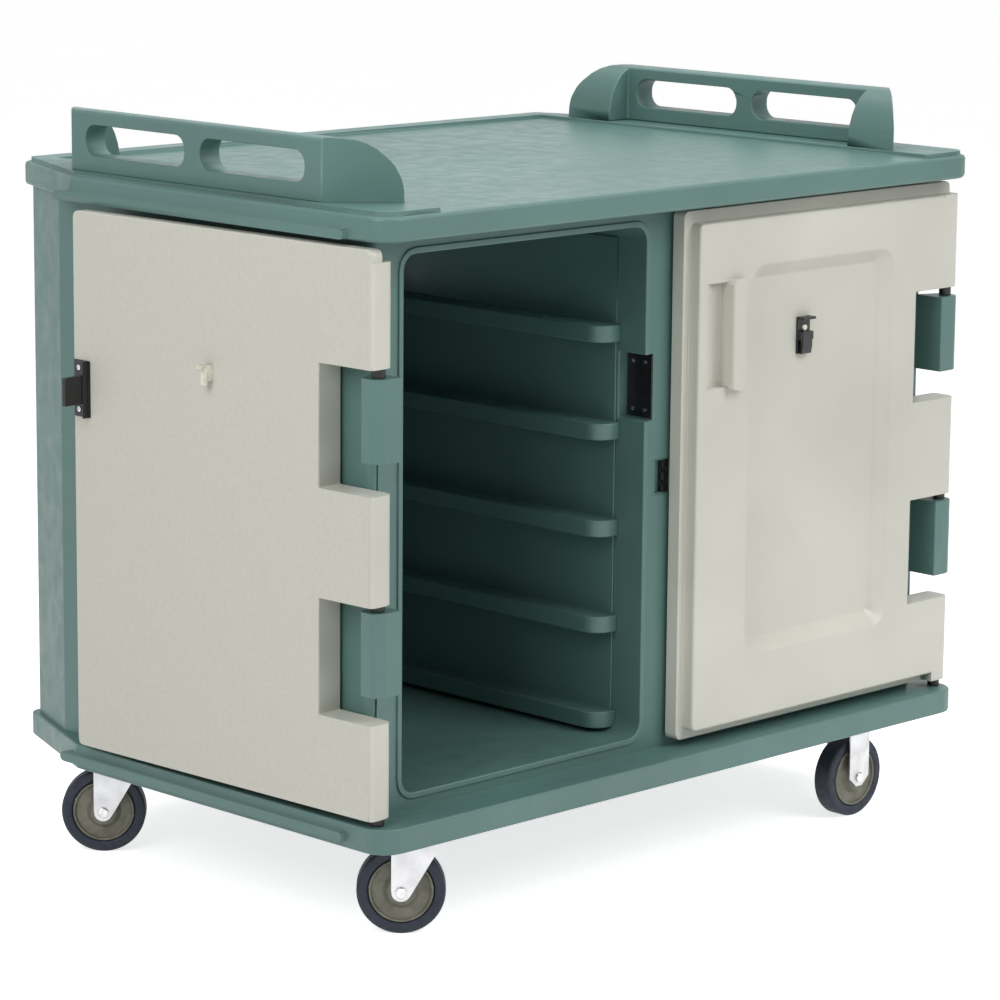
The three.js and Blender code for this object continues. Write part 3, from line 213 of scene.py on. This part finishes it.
def round_edges(piece, width, segments=3, angle=32):
    """Bevels the sharp edges, narrower where short edges leave little room, and leaves an edge sharp
    where its rounding would tear the surface."""
    take(piece)
    plain = piece.data.copy()
    before = search_tree(plain)
    room = corner_room(plain, width / ROUNDING_SHARE)
    kept_sharp = []
    for attempt in range(ROUNDING_TRIES):
        piece.data = plain.copy()
        mesh = piece.data
        weights = mesh.attributes.new("bevel_weight_edge", "FLOAT", "EDGE").data
        for edge in sharp_edges(mesh, radians(angle)):
            ends = [mesh.vertices[corner].co for corner in edge.vertices]
            if any(near_line(point, *ends) < 4 * width for point in kept_sharp):
                continue
            weights[edge.index].value = ROUNDING_SHARE * min(room[corner] for corner in edge.vertices) / width
        bevel = piece.modifiers.new("rounded edges", "BEVEL")
        bevel.width = width
        bevel.segments = segments
        bevel.limit_method = "WEIGHT"
        bevel.use_clamp_overlap = False
        bpy.ops.object.modifier_apply(modifier=bevel.name)
        torn = faults(piece.data, before, width)
        if not torn:
            break
        kept_sharp += torn
    print(piece.name, "rounded in", attempt + 1, "tries,", len(torn), "faults left")
    smooth(piece)


def smooth(piece, angle=50):
    take(piece)
    bpy.ops.object.shade_smooth_by_angle(angle=radians(angle))
    weighted = piece.modifiers.new("flat faces stay flat", "WEIGHTED_NORMAL")
    weighted.keep_sharp = True
    bpy.ops.object.modifier_apply(modifier=weighted.name)


def belongs(piece, node):
    """The piece stands for the node: the node is hidden, and the piece rides on the body where the node rides."""
    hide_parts(node)
    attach(piece, body_of_node[node])
    return piece


# %% [markdown]
# The moulded shells already have their exact form in the frame, down to the rails and the knuckles. What
# they lack is the soft edge that a rotational mould leaves. A copy of such a node is merged, its flat
# areas are dissolved back to single faces, and its edges are rounded.

# %% Copy a node and soften its edges
def dressed(node, finish, width, segments=3):
    source = nodes[node]
    piece = source.copy()
    piece.data = source.data.copy()
    piece.name = node + "_dressed"
    piece.parent = None
    for key in list(piece.keys()):
        del piece[key]
    bpy.context.scene.collection.objects.link(piece)
    take(piece)
    bpy.ops.object.mode_set(mode="EDIT")
    bpy.ops.mesh.select_all(action="SELECT")
    bpy.ops.mesh.remove_doubles(threshold=0.00001)
    bpy.ops.mesh.dissolve_limited(angle_limit=radians(0.5))
    bpy.ops.object.mode_set(mode="OBJECT")
    piece.data.materials.clear()
    piece.data.materials.append(finish)
    round_edges(piece, width, segments)
    return belongs(piece, node)


# %% [markdown]
# ## Finishes
# Each finish is a small node tree. Patterns read Object coordinates, so they stay on the piece when its
# body moves. One helper makes the tree with its coordinates, another adds a noise, a third a bump.

# %% Start a finish
def start_finish(name, roughness=0.5, metallic=0.0):
    finish = bpy.data.materials.new(name)
    finish.use_nodes = True
    shader = finish.node_tree.nodes["Principled BSDF"]
    shader.inputs["Roughness"].default_value = roughness
    shader.inputs["Metallic"].default_value = metallic
    return finish, finish.node_tree, shader


def add_noise(tree, scale, detail=2.0, stretch=(1, 1, 1)):
    coordinates = tree.nodes.new("ShaderNodeTexCoord")
    mapping = tree.nodes.new("ShaderNodeMapping")
    mapping.inputs["Scale"].default_value = stretch
    noise = tree.nodes.new("ShaderNodeTexNoise")
    noise.inputs["Scale"].default_value = scale
    noise.inputs["Detail"].default_value = detail
    tree.links.new(coordinates.outputs["Object"], mapping.inputs["Vector"])
    tree.links.new(mapping.outputs["Vector"], noise.inputs["Vector"])
    return noise.outputs["Fac"]


# %% Colour that varies, roughness that varies, and bumps
def vary_colour(tree, shader, factor, dark, light, low=0.35, high=0.65):
    ramp = tree.nodes.new("ShaderNodeValToRGB")
    ramp.color_ramp.elements[0].position = low
    ramp.color_ramp.elements[1].position = high
    ramp.color_ramp.elements[0].color = (*dark, 1)
    ramp.color_ramp.elements[1].color = (*light, 1)
    tree.links.new(factor, ramp.inputs["Fac"])
    tree.links.new(ramp.outputs["Color"], shader.inputs["Base Color"])


def vary_roughness(tree, shader, factor, low, high):
    spread = tree.nodes.new("ShaderNodeMapRange")
    spread.inputs["From Min"].default_value = 0.3
    spread.inputs["From Max"].default_value = 0.7
    spread.inputs["To Min"].default_value = low
    spread.inputs["To Max"].default_value = high
    tree.links.new(factor, spread.inputs["Value"])
    tree.links.new(spread.outputs["Result"], shader.inputs["Roughness"])


def add_bump(tree, shader, factor, strength, distance):
    bump = tree.nodes.new("ShaderNodeBump")
    bump.inputs["Strength"].default_value = strength
    bump.inputs["Distance"].default_value = distance
    below = shader.inputs["Normal"]
    if below.is_linked:
        tree.links.new(below.links[0].from_socket, bump.inputs["Normal"])
    tree.links.new(factor, bump.inputs["Height"])
    tree.links.new(bump.outputs["Normal"], below)


# %% [markdown]
# The cabinet is slate green polyethylene. A rotational mould leaves a fine orange peel and a slow, shallow
# waviness, which is what breaks up the reflections on such a cart. The colour drifts a little with the
# thickness of the wall.

# %% Green moulded shell
SLATE_GREEN = (0.094, 0.186, 0.170)


def shaded(colour, factor):
    return tuple(channel * factor for channel in colour)


def moulded_shell(name, colour):
    finish, tree, shader = start_finish(name)
    vary_colour(tree, shader, add_noise(tree, 2.2, 4.0), shaded(colour, 0.90), shaded(colour, 1.08))
    vary_roughness(tree, shader, add_noise(tree, 35.0, 3.0), 0.36, 0.52)
    add_bump(tree, shader, add_noise(tree, 5.0, 1.0), 0.10, 0.004)
    add_bump(tree, shader, add_noise(tree, 420.0, 2.0), 0.16, 0.0006)
    return finish


shell_green = moulded_shell("slate_green_shell", SLATE_GREEN)

# %% [markdown]
# The doors are cream. Their outer side is smooth. Their inner side carries a fine linen grain from the
# mould, made here from two crossed waves about two millimetres apart, broken up by noise.

# %% Cream door, outside and inside
CREAM = (0.60, 0.595, 0.53)


def linen_door(name, colour):
    finish, tree, shader = start_finish(name, roughness=0.6)
    coordinates = tree.nodes.new("ShaderNodeTexCoord")
    threads = []
    for direction in ("Y", "Z"):
        wave = tree.nodes.new("ShaderNodeTexWave")
        wave.bands_direction = direction
        wave.inputs["Scale"].default_value = 130.0
        wave.inputs["Distortion"].default_value = 2.5
        wave.inputs["Detail"].default_value = 2.0
        tree.links.new(coordinates.outputs["Object"], wave.inputs["Vector"])
        threads.append(wave.outputs["Fac"])
    weave = tree.nodes.new("ShaderNodeMath")
    weave.operation = "MAXIMUM"
    tree.links.new(threads[0], weave.inputs[0])
    tree.links.new(threads[1], weave.inputs[1])
    speckle = tree.nodes.new("ShaderNodeMix")
    speckle.inputs["Factor"].default_value = 0.55
    tree.links.new(weave.outputs["Value"], speckle.inputs["A"])
    tree.links.new(add_noise(tree, 160.0, 5.0), speckle.inputs["B"])
    grain = speckle.outputs["Result"]
    vary_colour(tree, shader, grain, shaded(colour, 0.88), shaded(colour, 1.05), 0.25, 0.85)
    add_bump(tree, shader, grain, 0.35, 0.0006)
    return finish


cream_outside = moulded_shell("cream_door_outside", CREAM)
cream_linen = linen_door("cream_door_linen", shaded(CREAM, 0.97))

# %% [markdown]
# The small parts: black nylon, black painted steel, bright steel, zinc plate with its faint clouded
# spangle, navy rubber with scuffs, the olive grey hub plastic and the off-white retainer.

# %% Finishes of the small parts
def plain_plastic(name, colour, low, high):
    finish, tree, shader = start_finish(name)
    vary_colour(tree, shader, add_noise(tree, 60.0, 3.0), shaded(colour, 0.8), shaded(colour, 1.2))
    vary_roughness(tree, shader, add_noise(tree, 140.0, 2.0), low, high)
    add_bump(tree, shader, add_noise(tree, 900.0, 2.0), 0.12, 0.0003)
    return finish


def plated_steel(name, colour, cloud, low, high):
    finish, tree, shader = start_finish(name, metallic=1.0)
    vary_colour(tree, shader, add_noise(tree, cloud, 3.0), shaded(colour, 0.84), shaded(colour, 1.08))
    vary_roughness(tree, shader, add_noise(tree, cloud * 2, 3.0), low, high)
    add_bump(tree, shader, add_noise(tree, 700.0, 2.0, (1, 1, 0.1)), 0.08, 0.0002)
    return finish


black_nylon = plain_plastic("black_nylon", (0.012, 0.013, 0.014), 0.35, 0.5)
black_paint = plain_plastic("black_painted_steel", (0.010, 0.010, 0.011), 0.28, 0.4)
magnet_case = plain_plastic("magnet_case", (0.008, 0.008, 0.009), 0.45, 0.6)
white_plastic = plain_plastic("white_plastic", (0.72, 0.71, 0.60), 0.3, 0.45)
hub_plastic = plain_plastic("olive_grey_hub", (0.185, 0.180, 0.140), 0.45, 0.6)
navy_rubber = plain_plastic("navy_rubber", (0.012, 0.017, 0.032), 0.5, 0.7)
foam_core = plain_plastic("foam_core", (0.69, 0.62, 0.38), 0.85, 0.95)
zinc_plate = plated_steel("zinc_plate", (0.62, 0.62, 0.63), 45.0, 0.34, 0.5)
bright_steel = plated_steel("bright_steel", (0.66, 0.66, 0.66), 120.0, 0.2, 0.32)
print("finishes:", len(bpy.data.materials))

# %% [markdown]
# ## The cabinet
# One moulding makes the cabinet: base rim, walls, deck with its raised lip, bumper ribs and hinge
# knuckles. Its edges are soft everywhere, so its copy is rounded by two millimetres. The end handles and
# the tray liners with their rails have the same colour and the same soft edges.

# %% Dress the cabinet shell, the liners and the handles
cabinet = dressed("cabinet_shell", shell_green, 2.2 * MM, 3)
for side in ("left", "right"):
    dressed(f"{side}_tray_liner", shell_green, 2.0 * MM, 3)
    dressed(f"{side}_handle", shell_green, 2.5 * MM, 3)
print("cabinet shell faces:", len(cabinet.data.polygons))

# %% [markdown]
# ## The doors
# A door is a second moulding. The inner face gets the linen finish: its faces are those that lie on the
# side of the door that looks into the cabinet when it is shut. The left door stands open, so its inner
# face looks along -X, and the right one looks along +Y.

# %% Dress both doors
INNER_RELIEF = 25 * MM


def inner_side(side):
    """The way that the inner face of a door looks at rest."""
    return Vector((-1, 0, 0)) if side == "left" else Vector((0, 1, 0))


def dress_door(side):
    door = dressed(f"{side}_door_skin", cream_outside, 2.6 * MM, 4)
    door.data.materials.append(cream_linen)
    outward = inner_side(side)
    level = max(vertex.co.dot(outward) for vertex in door.data.vertices)
    for face in door.data.polygons:
        near = level - face.center.dot(outward) < INNER_RELIEF
        if near and face.normal.dot(outward) > 0.9:
            face.material_index = 1
    linen = sum(face.material_index for face in door.data.polygons)
    print(side, "door faces:", len(door.data.polygons), "with linen:", linen)
    return door


for side in ("left", "right"):
    dress_door(side)

# %% [markdown]
# ## Hinge pins and keeper
# The pins are black nylon with a collar that the door sits on. They are already turned in the frame, so a
# small round on their edges is all they need. The keeper in the centre wall is dressed in the same way.

# %% Dress the pins and the keeper
for side in ("left", "right"):
    for level in ("lower", "middle", "upper"):
        dressed(f"{side}_hinge_pin_{level}", black_nylon, 0.6 * MM, 2)
dressed("centre_keeper", black_nylon, 0.5 * MM, 2)

# %% [markdown]
# ## Latches
# A black steel plate is riveted to the side of each pocket in the centre wall, and a magnet on a bracket
# at the free edge of the door pulls onto it. The plates, brackets and magnets are dressed copies.

# %% Dress the latch plates, brackets and magnets
for side in ("left", "right"):
    dressed(f"{side}_strike_plate", black_paint, 0.4 * MM, 2)
    dressed(f"{side}_latch_bracket", black_paint, 0.35 * MM, 2)
    dressed(f"{side}_latch_magnet", magnet_case, 0.8 * MM, 2)

# %% [markdown]
# Rivets and screws are modelled here. A rivet head is a cylinder whose outer face is inset and pushed
# out, then rounded into a dome. A screw head gets a cross-shaped recess: a slim bar is cut out of it
# twice, a quarter turn apart, with a boolean modifier that is applied.

# %% Model a rivet and a cross-recess screw
def turned_to(axis):
    return Vector((0, 0, 1)).rotation_difference(Vector(axis)).to_matrix().to_4x4()


def new_cylinder(name, radius, depth, sides=32):
    take(cabinet)
    bpy.ops.object.select_all(action="DESELECT")
    bpy.ops.mesh.primitive_cylinder_add(vertices=sides, radius=radius, depth=depth, location=(0, 0, 0))
    piece = bpy.context.active_object
    piece.name = name
    piece.data.name = name
    return piece


def dome_top(piece, rise, inset):
    """Insets the top face and lifts it, twice, for a domed head."""
    top = max(vertex.co.z for vertex in piece.data.vertices)
    pick_faces(piece, lambda centre, normal: normal.z > 0.9 and centre.z > top - 1e-6)
    for share in (0.6, 0.4):
        bpy.ops.mesh.inset(thickness=inset * share)
        bpy.ops.transform.translate(value=(0, 0, rise * share))
    bpy.ops.object.mode_set(mode="OBJECT")


def cross_recess(piece, reach, width, depth):
    """Cuts a cross into the top of a screw head."""
    top = max(vertex.co.z for vertex in piece.data.vertices)
    for turn in (0, pi / 2):
        bpy.ops.object.select_all(action="DESELECT")
        bpy.ops.mesh.primitive_cube_add(size=1, location=(0, 0, top))
        cutter = bpy.context.active_object
        cutter.scale = (reach * 2, width, depth * 2)
        cutter.rotation_euler = (0, 0, turn)
        take(piece)
        cut = piece.modifiers.new("cross", "BOOLEAN")
        cut.operation = "DIFFERENCE"
        cut.solver = "EXACT"
        cut.object = cutter
        bpy.ops.object.modifier_apply(modifier=cut.name)
        bpy.data.objects.remove(cutter)


# %% Turn a rivet and a screw to the size of their nodes
RIVET_RADIUS = 3.0 * MM
RIVET_SHANK = 1.7 * MM
RIVET_EDGE = 0.7 * MM
RIVET_DOME = 0.5 * MM
RIVET_END_ROOM = 0.2 * MM
SCREW_RADIUS = 3.9 * MM
SCREW_SHANK = 2.0 * MM
SCREW_EDGE = 1.2 * MM
SCREW_DOME = 0.8 * MM


def node_middle(node):
    low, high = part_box(node)
    return (Vector(low) + Vector(high)) / 2


def node_length(node, axis):
    low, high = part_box(node)
    return abs((Vector(high) - Vector(low)).dot(Vector(axis)))


def head_place(node, axis, sunk):
    """The outer end of a small fastener, looking along its axis, for a head whose middle is sunk in it."""
    outer_end = node_middle(node) + Vector(axis) * (node_length(node, axis) / 2)
    return Matrix.Translation(outer_end) @ turned_to(axis) @ Matrix.Translation((0, 0, -sunk))


def add_shank(piece, radius, shank, length):
    """Draws a thinner shank out of the underside of a head."""
    pick_faces(piece, lambda centre, normal: normal.z < -0.9)
    bpy.ops.mesh.inset(thickness=radius - shank)
    bpy.ops.mesh.extrude_region_move(TRANSFORM_OT_translate={"value": (0, 0, -length)})
    bpy.ops.object.mode_set(mode="OBJECT")


def rivet(node, axis):
    piece = new_cylinder(node + "_turned", RIVET_RADIUS, RIVET_EDGE, 24)
    shank_length = node_length(node, axis) - RIVET_EDGE - RIVET_DOME - RIVET_END_ROOM
    add_shank(piece, RIVET_RADIUS, RIVET_SHANK, shank_length)
    dome_top(piece, RIVET_DOME, 1.6 * MM)
    piece.data.materials.append(bright_steel)
    settle(piece, head_place(node, axis, RIVET_EDGE / 2 + RIVET_DOME))
    smooth(piece)
    return belongs(piece, node)


def pan_screw(node, axis):
    piece = new_cylinder(node + "_turned", SCREW_RADIUS, SCREW_EDGE, 32)
    shank_length = node_length(node, axis) - SCREW_EDGE - SCREW_DOME
    add_shank(piece, SCREW_RADIUS, SCREW_SHANK, shank_length)
    dome_top(piece, SCREW_DOME, 1.5 * MM)
    cross_recess(piece, 2.0 * MM, 0.8 * MM, 1.0 * MM)
    piece.data.materials.append(bright_steel)
    settle(piece, head_place(node, axis, SCREW_EDGE / 2 + SCREW_DOME))
    smooth(piece, 35)
    return belongs(piece, node)


# %% Place the rivets and the latch screws
for side in ("left", "right"):
    plate_side = (-1, 0, 0) if side == "left" else (1, 0, 0)
    for place in ("lower_front", "lower_rear", "upper_front", "upper_rear"):
        rivet(f"{side}_strike_rivet_{place}", plate_side)
    screw_side = inner_side(side)
    for place in ("lower", "upper"):
        pan_screw(f"{side}_latch_screw_{place}", screw_side)
print("rivets and screws placed")

# %% [markdown]
# ## Menu clips
# Each door carries a small black spring clip for a menu card, held from behind by an off-white retainer
# whose stem comes through the door. Body, jaw and retainer are dressed copies with finely rounded edges.

# %% Dress the menu clips
for side in ("left", "right"):
    dressed(f"{side}_menu_clip_body", black_nylon, 0.5 * MM, 2)
    dressed(f"{side}_menu_clip_jaw", black_nylon, 0.6 * MM, 2)
    dressed(f"{side}_menu_clip_retainer", white_plastic, 0.7 * MM, 2)

# %% [markdown]
# ## Casters
# A tyre starts as a cylinder. Its two end faces are inset by the thickness of the rubber and bridged, so
# that a bore is left for the hub, and the shoulders are rounded with a wide bevel.

# %% Model a tyre
WHEELS = ("front_left", "rear_left", "front_right", "rear_right")
TYRE_RADIUS = 63.5 * MM
TYRE_WIDTH = 32 * MM
TYRE_BORE = 46.3 * MM


def wheel_place(corner):
    axis = joints[f"{corner}_wheel_spin"]["axis"]
    return Matrix.Translation(node_middle(f"{corner}_tyre")) @ turned_to(axis)


def model_tyre():
    tyre = new_cylinder("tyre_pattern", TYRE_RADIUS, TYRE_WIDTH, 96)
    pick_faces(tyre, lambda centre, normal: abs(normal.z) > 0.9)
    bpy.ops.mesh.inset(thickness=TYRE_RADIUS - TYRE_BORE)
    bpy.ops.mesh.bridge_edge_loops()
    bpy.ops.object.mode_set(mode="OBJECT")
    rounding = tyre.modifiers.new("shoulders", "BEVEL")
    rounding.width = 5 * MM
    rounding.segments = 5
    rounding.limit_method = "ANGLE"
    rounding.angle_limit = radians(40)
    take(tyre)
    bpy.ops.object.modifier_apply(modifier=rounding.name)
    return tyre


# %% [markdown]
# The hub is worked from both end faces at once: an inset leaves a thin lip, the disc inside it is pushed
# in, a second inset marks the boss, and the boss is drawn out again with a sloping side to meet the fork.

# %% Model a hub
HUB_RADIUS = 46 * MM
HUB_LIP = 3 * MM
HUB_SINK = 4.5 * MM
BOSS_FOOT = 26 * MM
BOSS_TOP = 19 * MM
BOSS_REACH = 21 * MM
AXLE_BORE = 5.3 * MM


def push_ends(piece, distance):
    """Moves the picked end faces along their own normals."""
    bpy.ops.transform.shrink_fatten(value=distance)


def model_hub():
    hub = new_cylinder("hub_pattern", HUB_RADIUS, TYRE_WIDTH, 96)
    pick_faces(hub, lambda centre, normal: abs(normal.z) > 0.9)
    bpy.ops.mesh.inset(thickness=HUB_LIP)
    bpy.ops.mesh.inset(thickness=1.5 * MM)
    push_ends(hub, -HUB_SINK)
    bpy.ops.mesh.inset(thickness=HUB_RADIUS - HUB_LIP - 1.5 * MM - BOSS_FOOT)
    bpy.ops.mesh.inset(thickness=BOSS_FOOT - BOSS_TOP)
    push_ends(hub, BOSS_REACH - TYRE_WIDTH / 2 + HUB_SINK)
    bpy.ops.mesh.inset(thickness=BOSS_TOP - AXLE_BORE)
    bpy.ops.mesh.bridge_edge_loops()
    bpy.ops.object.mode_set(mode="OBJECT")
    rounding = hub.modifiers.new("soft edges", "BEVEL")
    rounding.width = 1.0 * MM
    rounding.segments = 3
    rounding.limit_method = "ANGLE"
    rounding.angle_limit = radians(25)
    take(hub)
    bpy.ops.object.modifier_apply(modifier=rounding.name)
    return hub


# %% Copy tyres and hubs to the four corners
def copy_to(pattern, name, place, finish):
    piece = pattern.copy()
    piece.data = pattern.data.copy()
    piece.name = name
    bpy.context.scene.collection.objects.link(piece)
    piece.data.materials.clear()
    piece.data.materials.append(finish)
    settle(piece, place)
    smooth(piece, 40)
    return piece


tyre_pattern = model_tyre()
hub_pattern = model_hub()
for corner in WHEELS:
    tyre = copy_to(tyre_pattern, f"{corner}_tyre_rounded", wheel_place(corner), navy_rubber)
    belongs(tyre, f"{corner}_tyre")
    hub = copy_to(hub_pattern, f"{corner}_hub_moulded", wheel_place(corner), hub_plastic)
    belongs(hub, f"{corner}_hub")
bpy.data.objects.remove(tyre_pattern)
bpy.data.objects.remove(hub_pattern)
print("tyres and hubs:", len(WHEELS))

# %% [markdown]
# Forks, brackets and plates are pressed steel. Their copies get the small round that a press leaves, and
# so do the heads of the axles.

# %% Dress the forks, brackets, plates and axles
for corner in ("front_left", "rear_left"):
    dressed(f"{corner}_caster_plate", zinc_plate, 0.5 * MM, 2)
    dressed(f"{corner}_caster_fork", zinc_plate, 0.6 * MM, 2)
for corner in ("front_right", "rear_right"):
    dressed(f"{corner}_caster_bracket", zinc_plate, 0.6 * MM, 2)
for corner in WHEELS:
    dressed(f"{corner}_axle", bright_steel, 0.5 * MM, 2)

# %% [markdown]
# The foam cores are sealed in and never seen, but they keep a finish of their own.

# %% Give the foam cores their finish
for node in ("left_door_foam", "right_door_foam"):
    core = nodes[node]
    core.data.materials.clear()
    core.data.materials.append(foam_core)

# %% [markdown]
# ## Stage and light
# The cart stands on a plain pale floor that runs past the view. Looked at directly or mirrored in metal,
# the floor is lifted to white by a glow of its own, which gives the cart no light, and keeps its shadow.

# %% Lay the floor
FLOOR_SIZE = 120
FLOOR_GLOW = 0.72


def seen_directly(tree):
    """One where the camera or a mirror looks, and zero where a surface gathers its light."""
    path = tree.nodes.new("ShaderNodeLightPath")
    seen = path.outputs["Is Camera Ray"]
    for mirrored in ("Is Glossy Ray", "Is Transmission Ray"):
        either = tree.nodes.new("ShaderNodeMath")
        either.operation = "MAXIMUM"
        tree.links.new(seen, either.inputs[0])
        tree.links.new(path.outputs[mirrored], either.inputs[1])
        seen = either.outputs["Value"]
    return seen


def strength_when_seen(tree, target, gathered, seen):
    """Sets a strength that is higher where it is seen directly than where it lights something."""
    blend = tree.nodes.new("ShaderNodeMapRange")
    blend.inputs["To Min"].default_value = gathered
    blend.inputs["To Max"].default_value = seen
    tree.links.new(seen_directly(tree), blend.inputs["Value"])
    tree.links.new(blend.outputs["Result"], target)


def pale_floor():
    finish, tree, shader = start_finish("pale_floor", roughness=0.9)
    shader.inputs["Specular IOR Level"].default_value = 0.1
    vary_colour(tree, shader, add_noise(tree, 0.8, 2.0), (0.93, 0.93, 0.93), (0.95, 0.95, 0.95))
    shader.inputs["Emission Color"].default_value = (1, 1, 1, 1)
    strength_when_seen(tree, shader.inputs["Emission Strength"], 0.0, FLOOR_GLOW)
    return finish


bpy.ops.object.select_all(action="DESELECT")
bpy.ops.mesh.primitive_plane_add(size=FLOOR_SIZE, location=(0, 0, 0))
floor = bpy.context.active_object
floor.name = "studio_floor"
floor.data.materials.append(pale_floor())

# %% [markdown]
# The world gives an even light, and three large lamps shape it: one from above, which brightens the deck,
# one from the left and one from the front.

# %% Light the world and hang the lamps
WORLD_LIGHT = 0.26
world = bpy.data.worlds.new("studio")
bpy.context.scene.world = world
world.use_nodes = True
background = world.node_tree.nodes["Background"]
background.inputs["Color"].default_value = (1, 1, 1, 1)
strength_when_seen(world.node_tree, background.inputs["Strength"], WORLD_LIGHT, 1.0)


def hang_lamp(name, place, aim, size, power):
    lamp_data = bpy.data.lights.new(name, "AREA")
    lamp_data.shape = "SQUARE"
    lamp_data.size = size
    lamp_data.energy = power
    lamp = bpy.data.objects.new(name, lamp_data)
    lamp.location = place
    direction = Vector(aim) - Vector(place)
    lamp.rotation_euler = direction.to_track_quat("-Z", "Y").to_euler()
    bpy.context.scene.collection.objects.link(lamp)


hang_lamp("lamp_above", (0.3, 0.2, 3.6), (0, 0, 1.0), 2.6, 46)
hang_lamp("lamp_left", (-3.2, -0.8, 2.8), (-0.4, 0, 0.7), 2.2, 68)
hang_lamp("lamp_front", (0.9, -3.2, 3.0), (0.2, 0, 0.7), 2.2, 76)
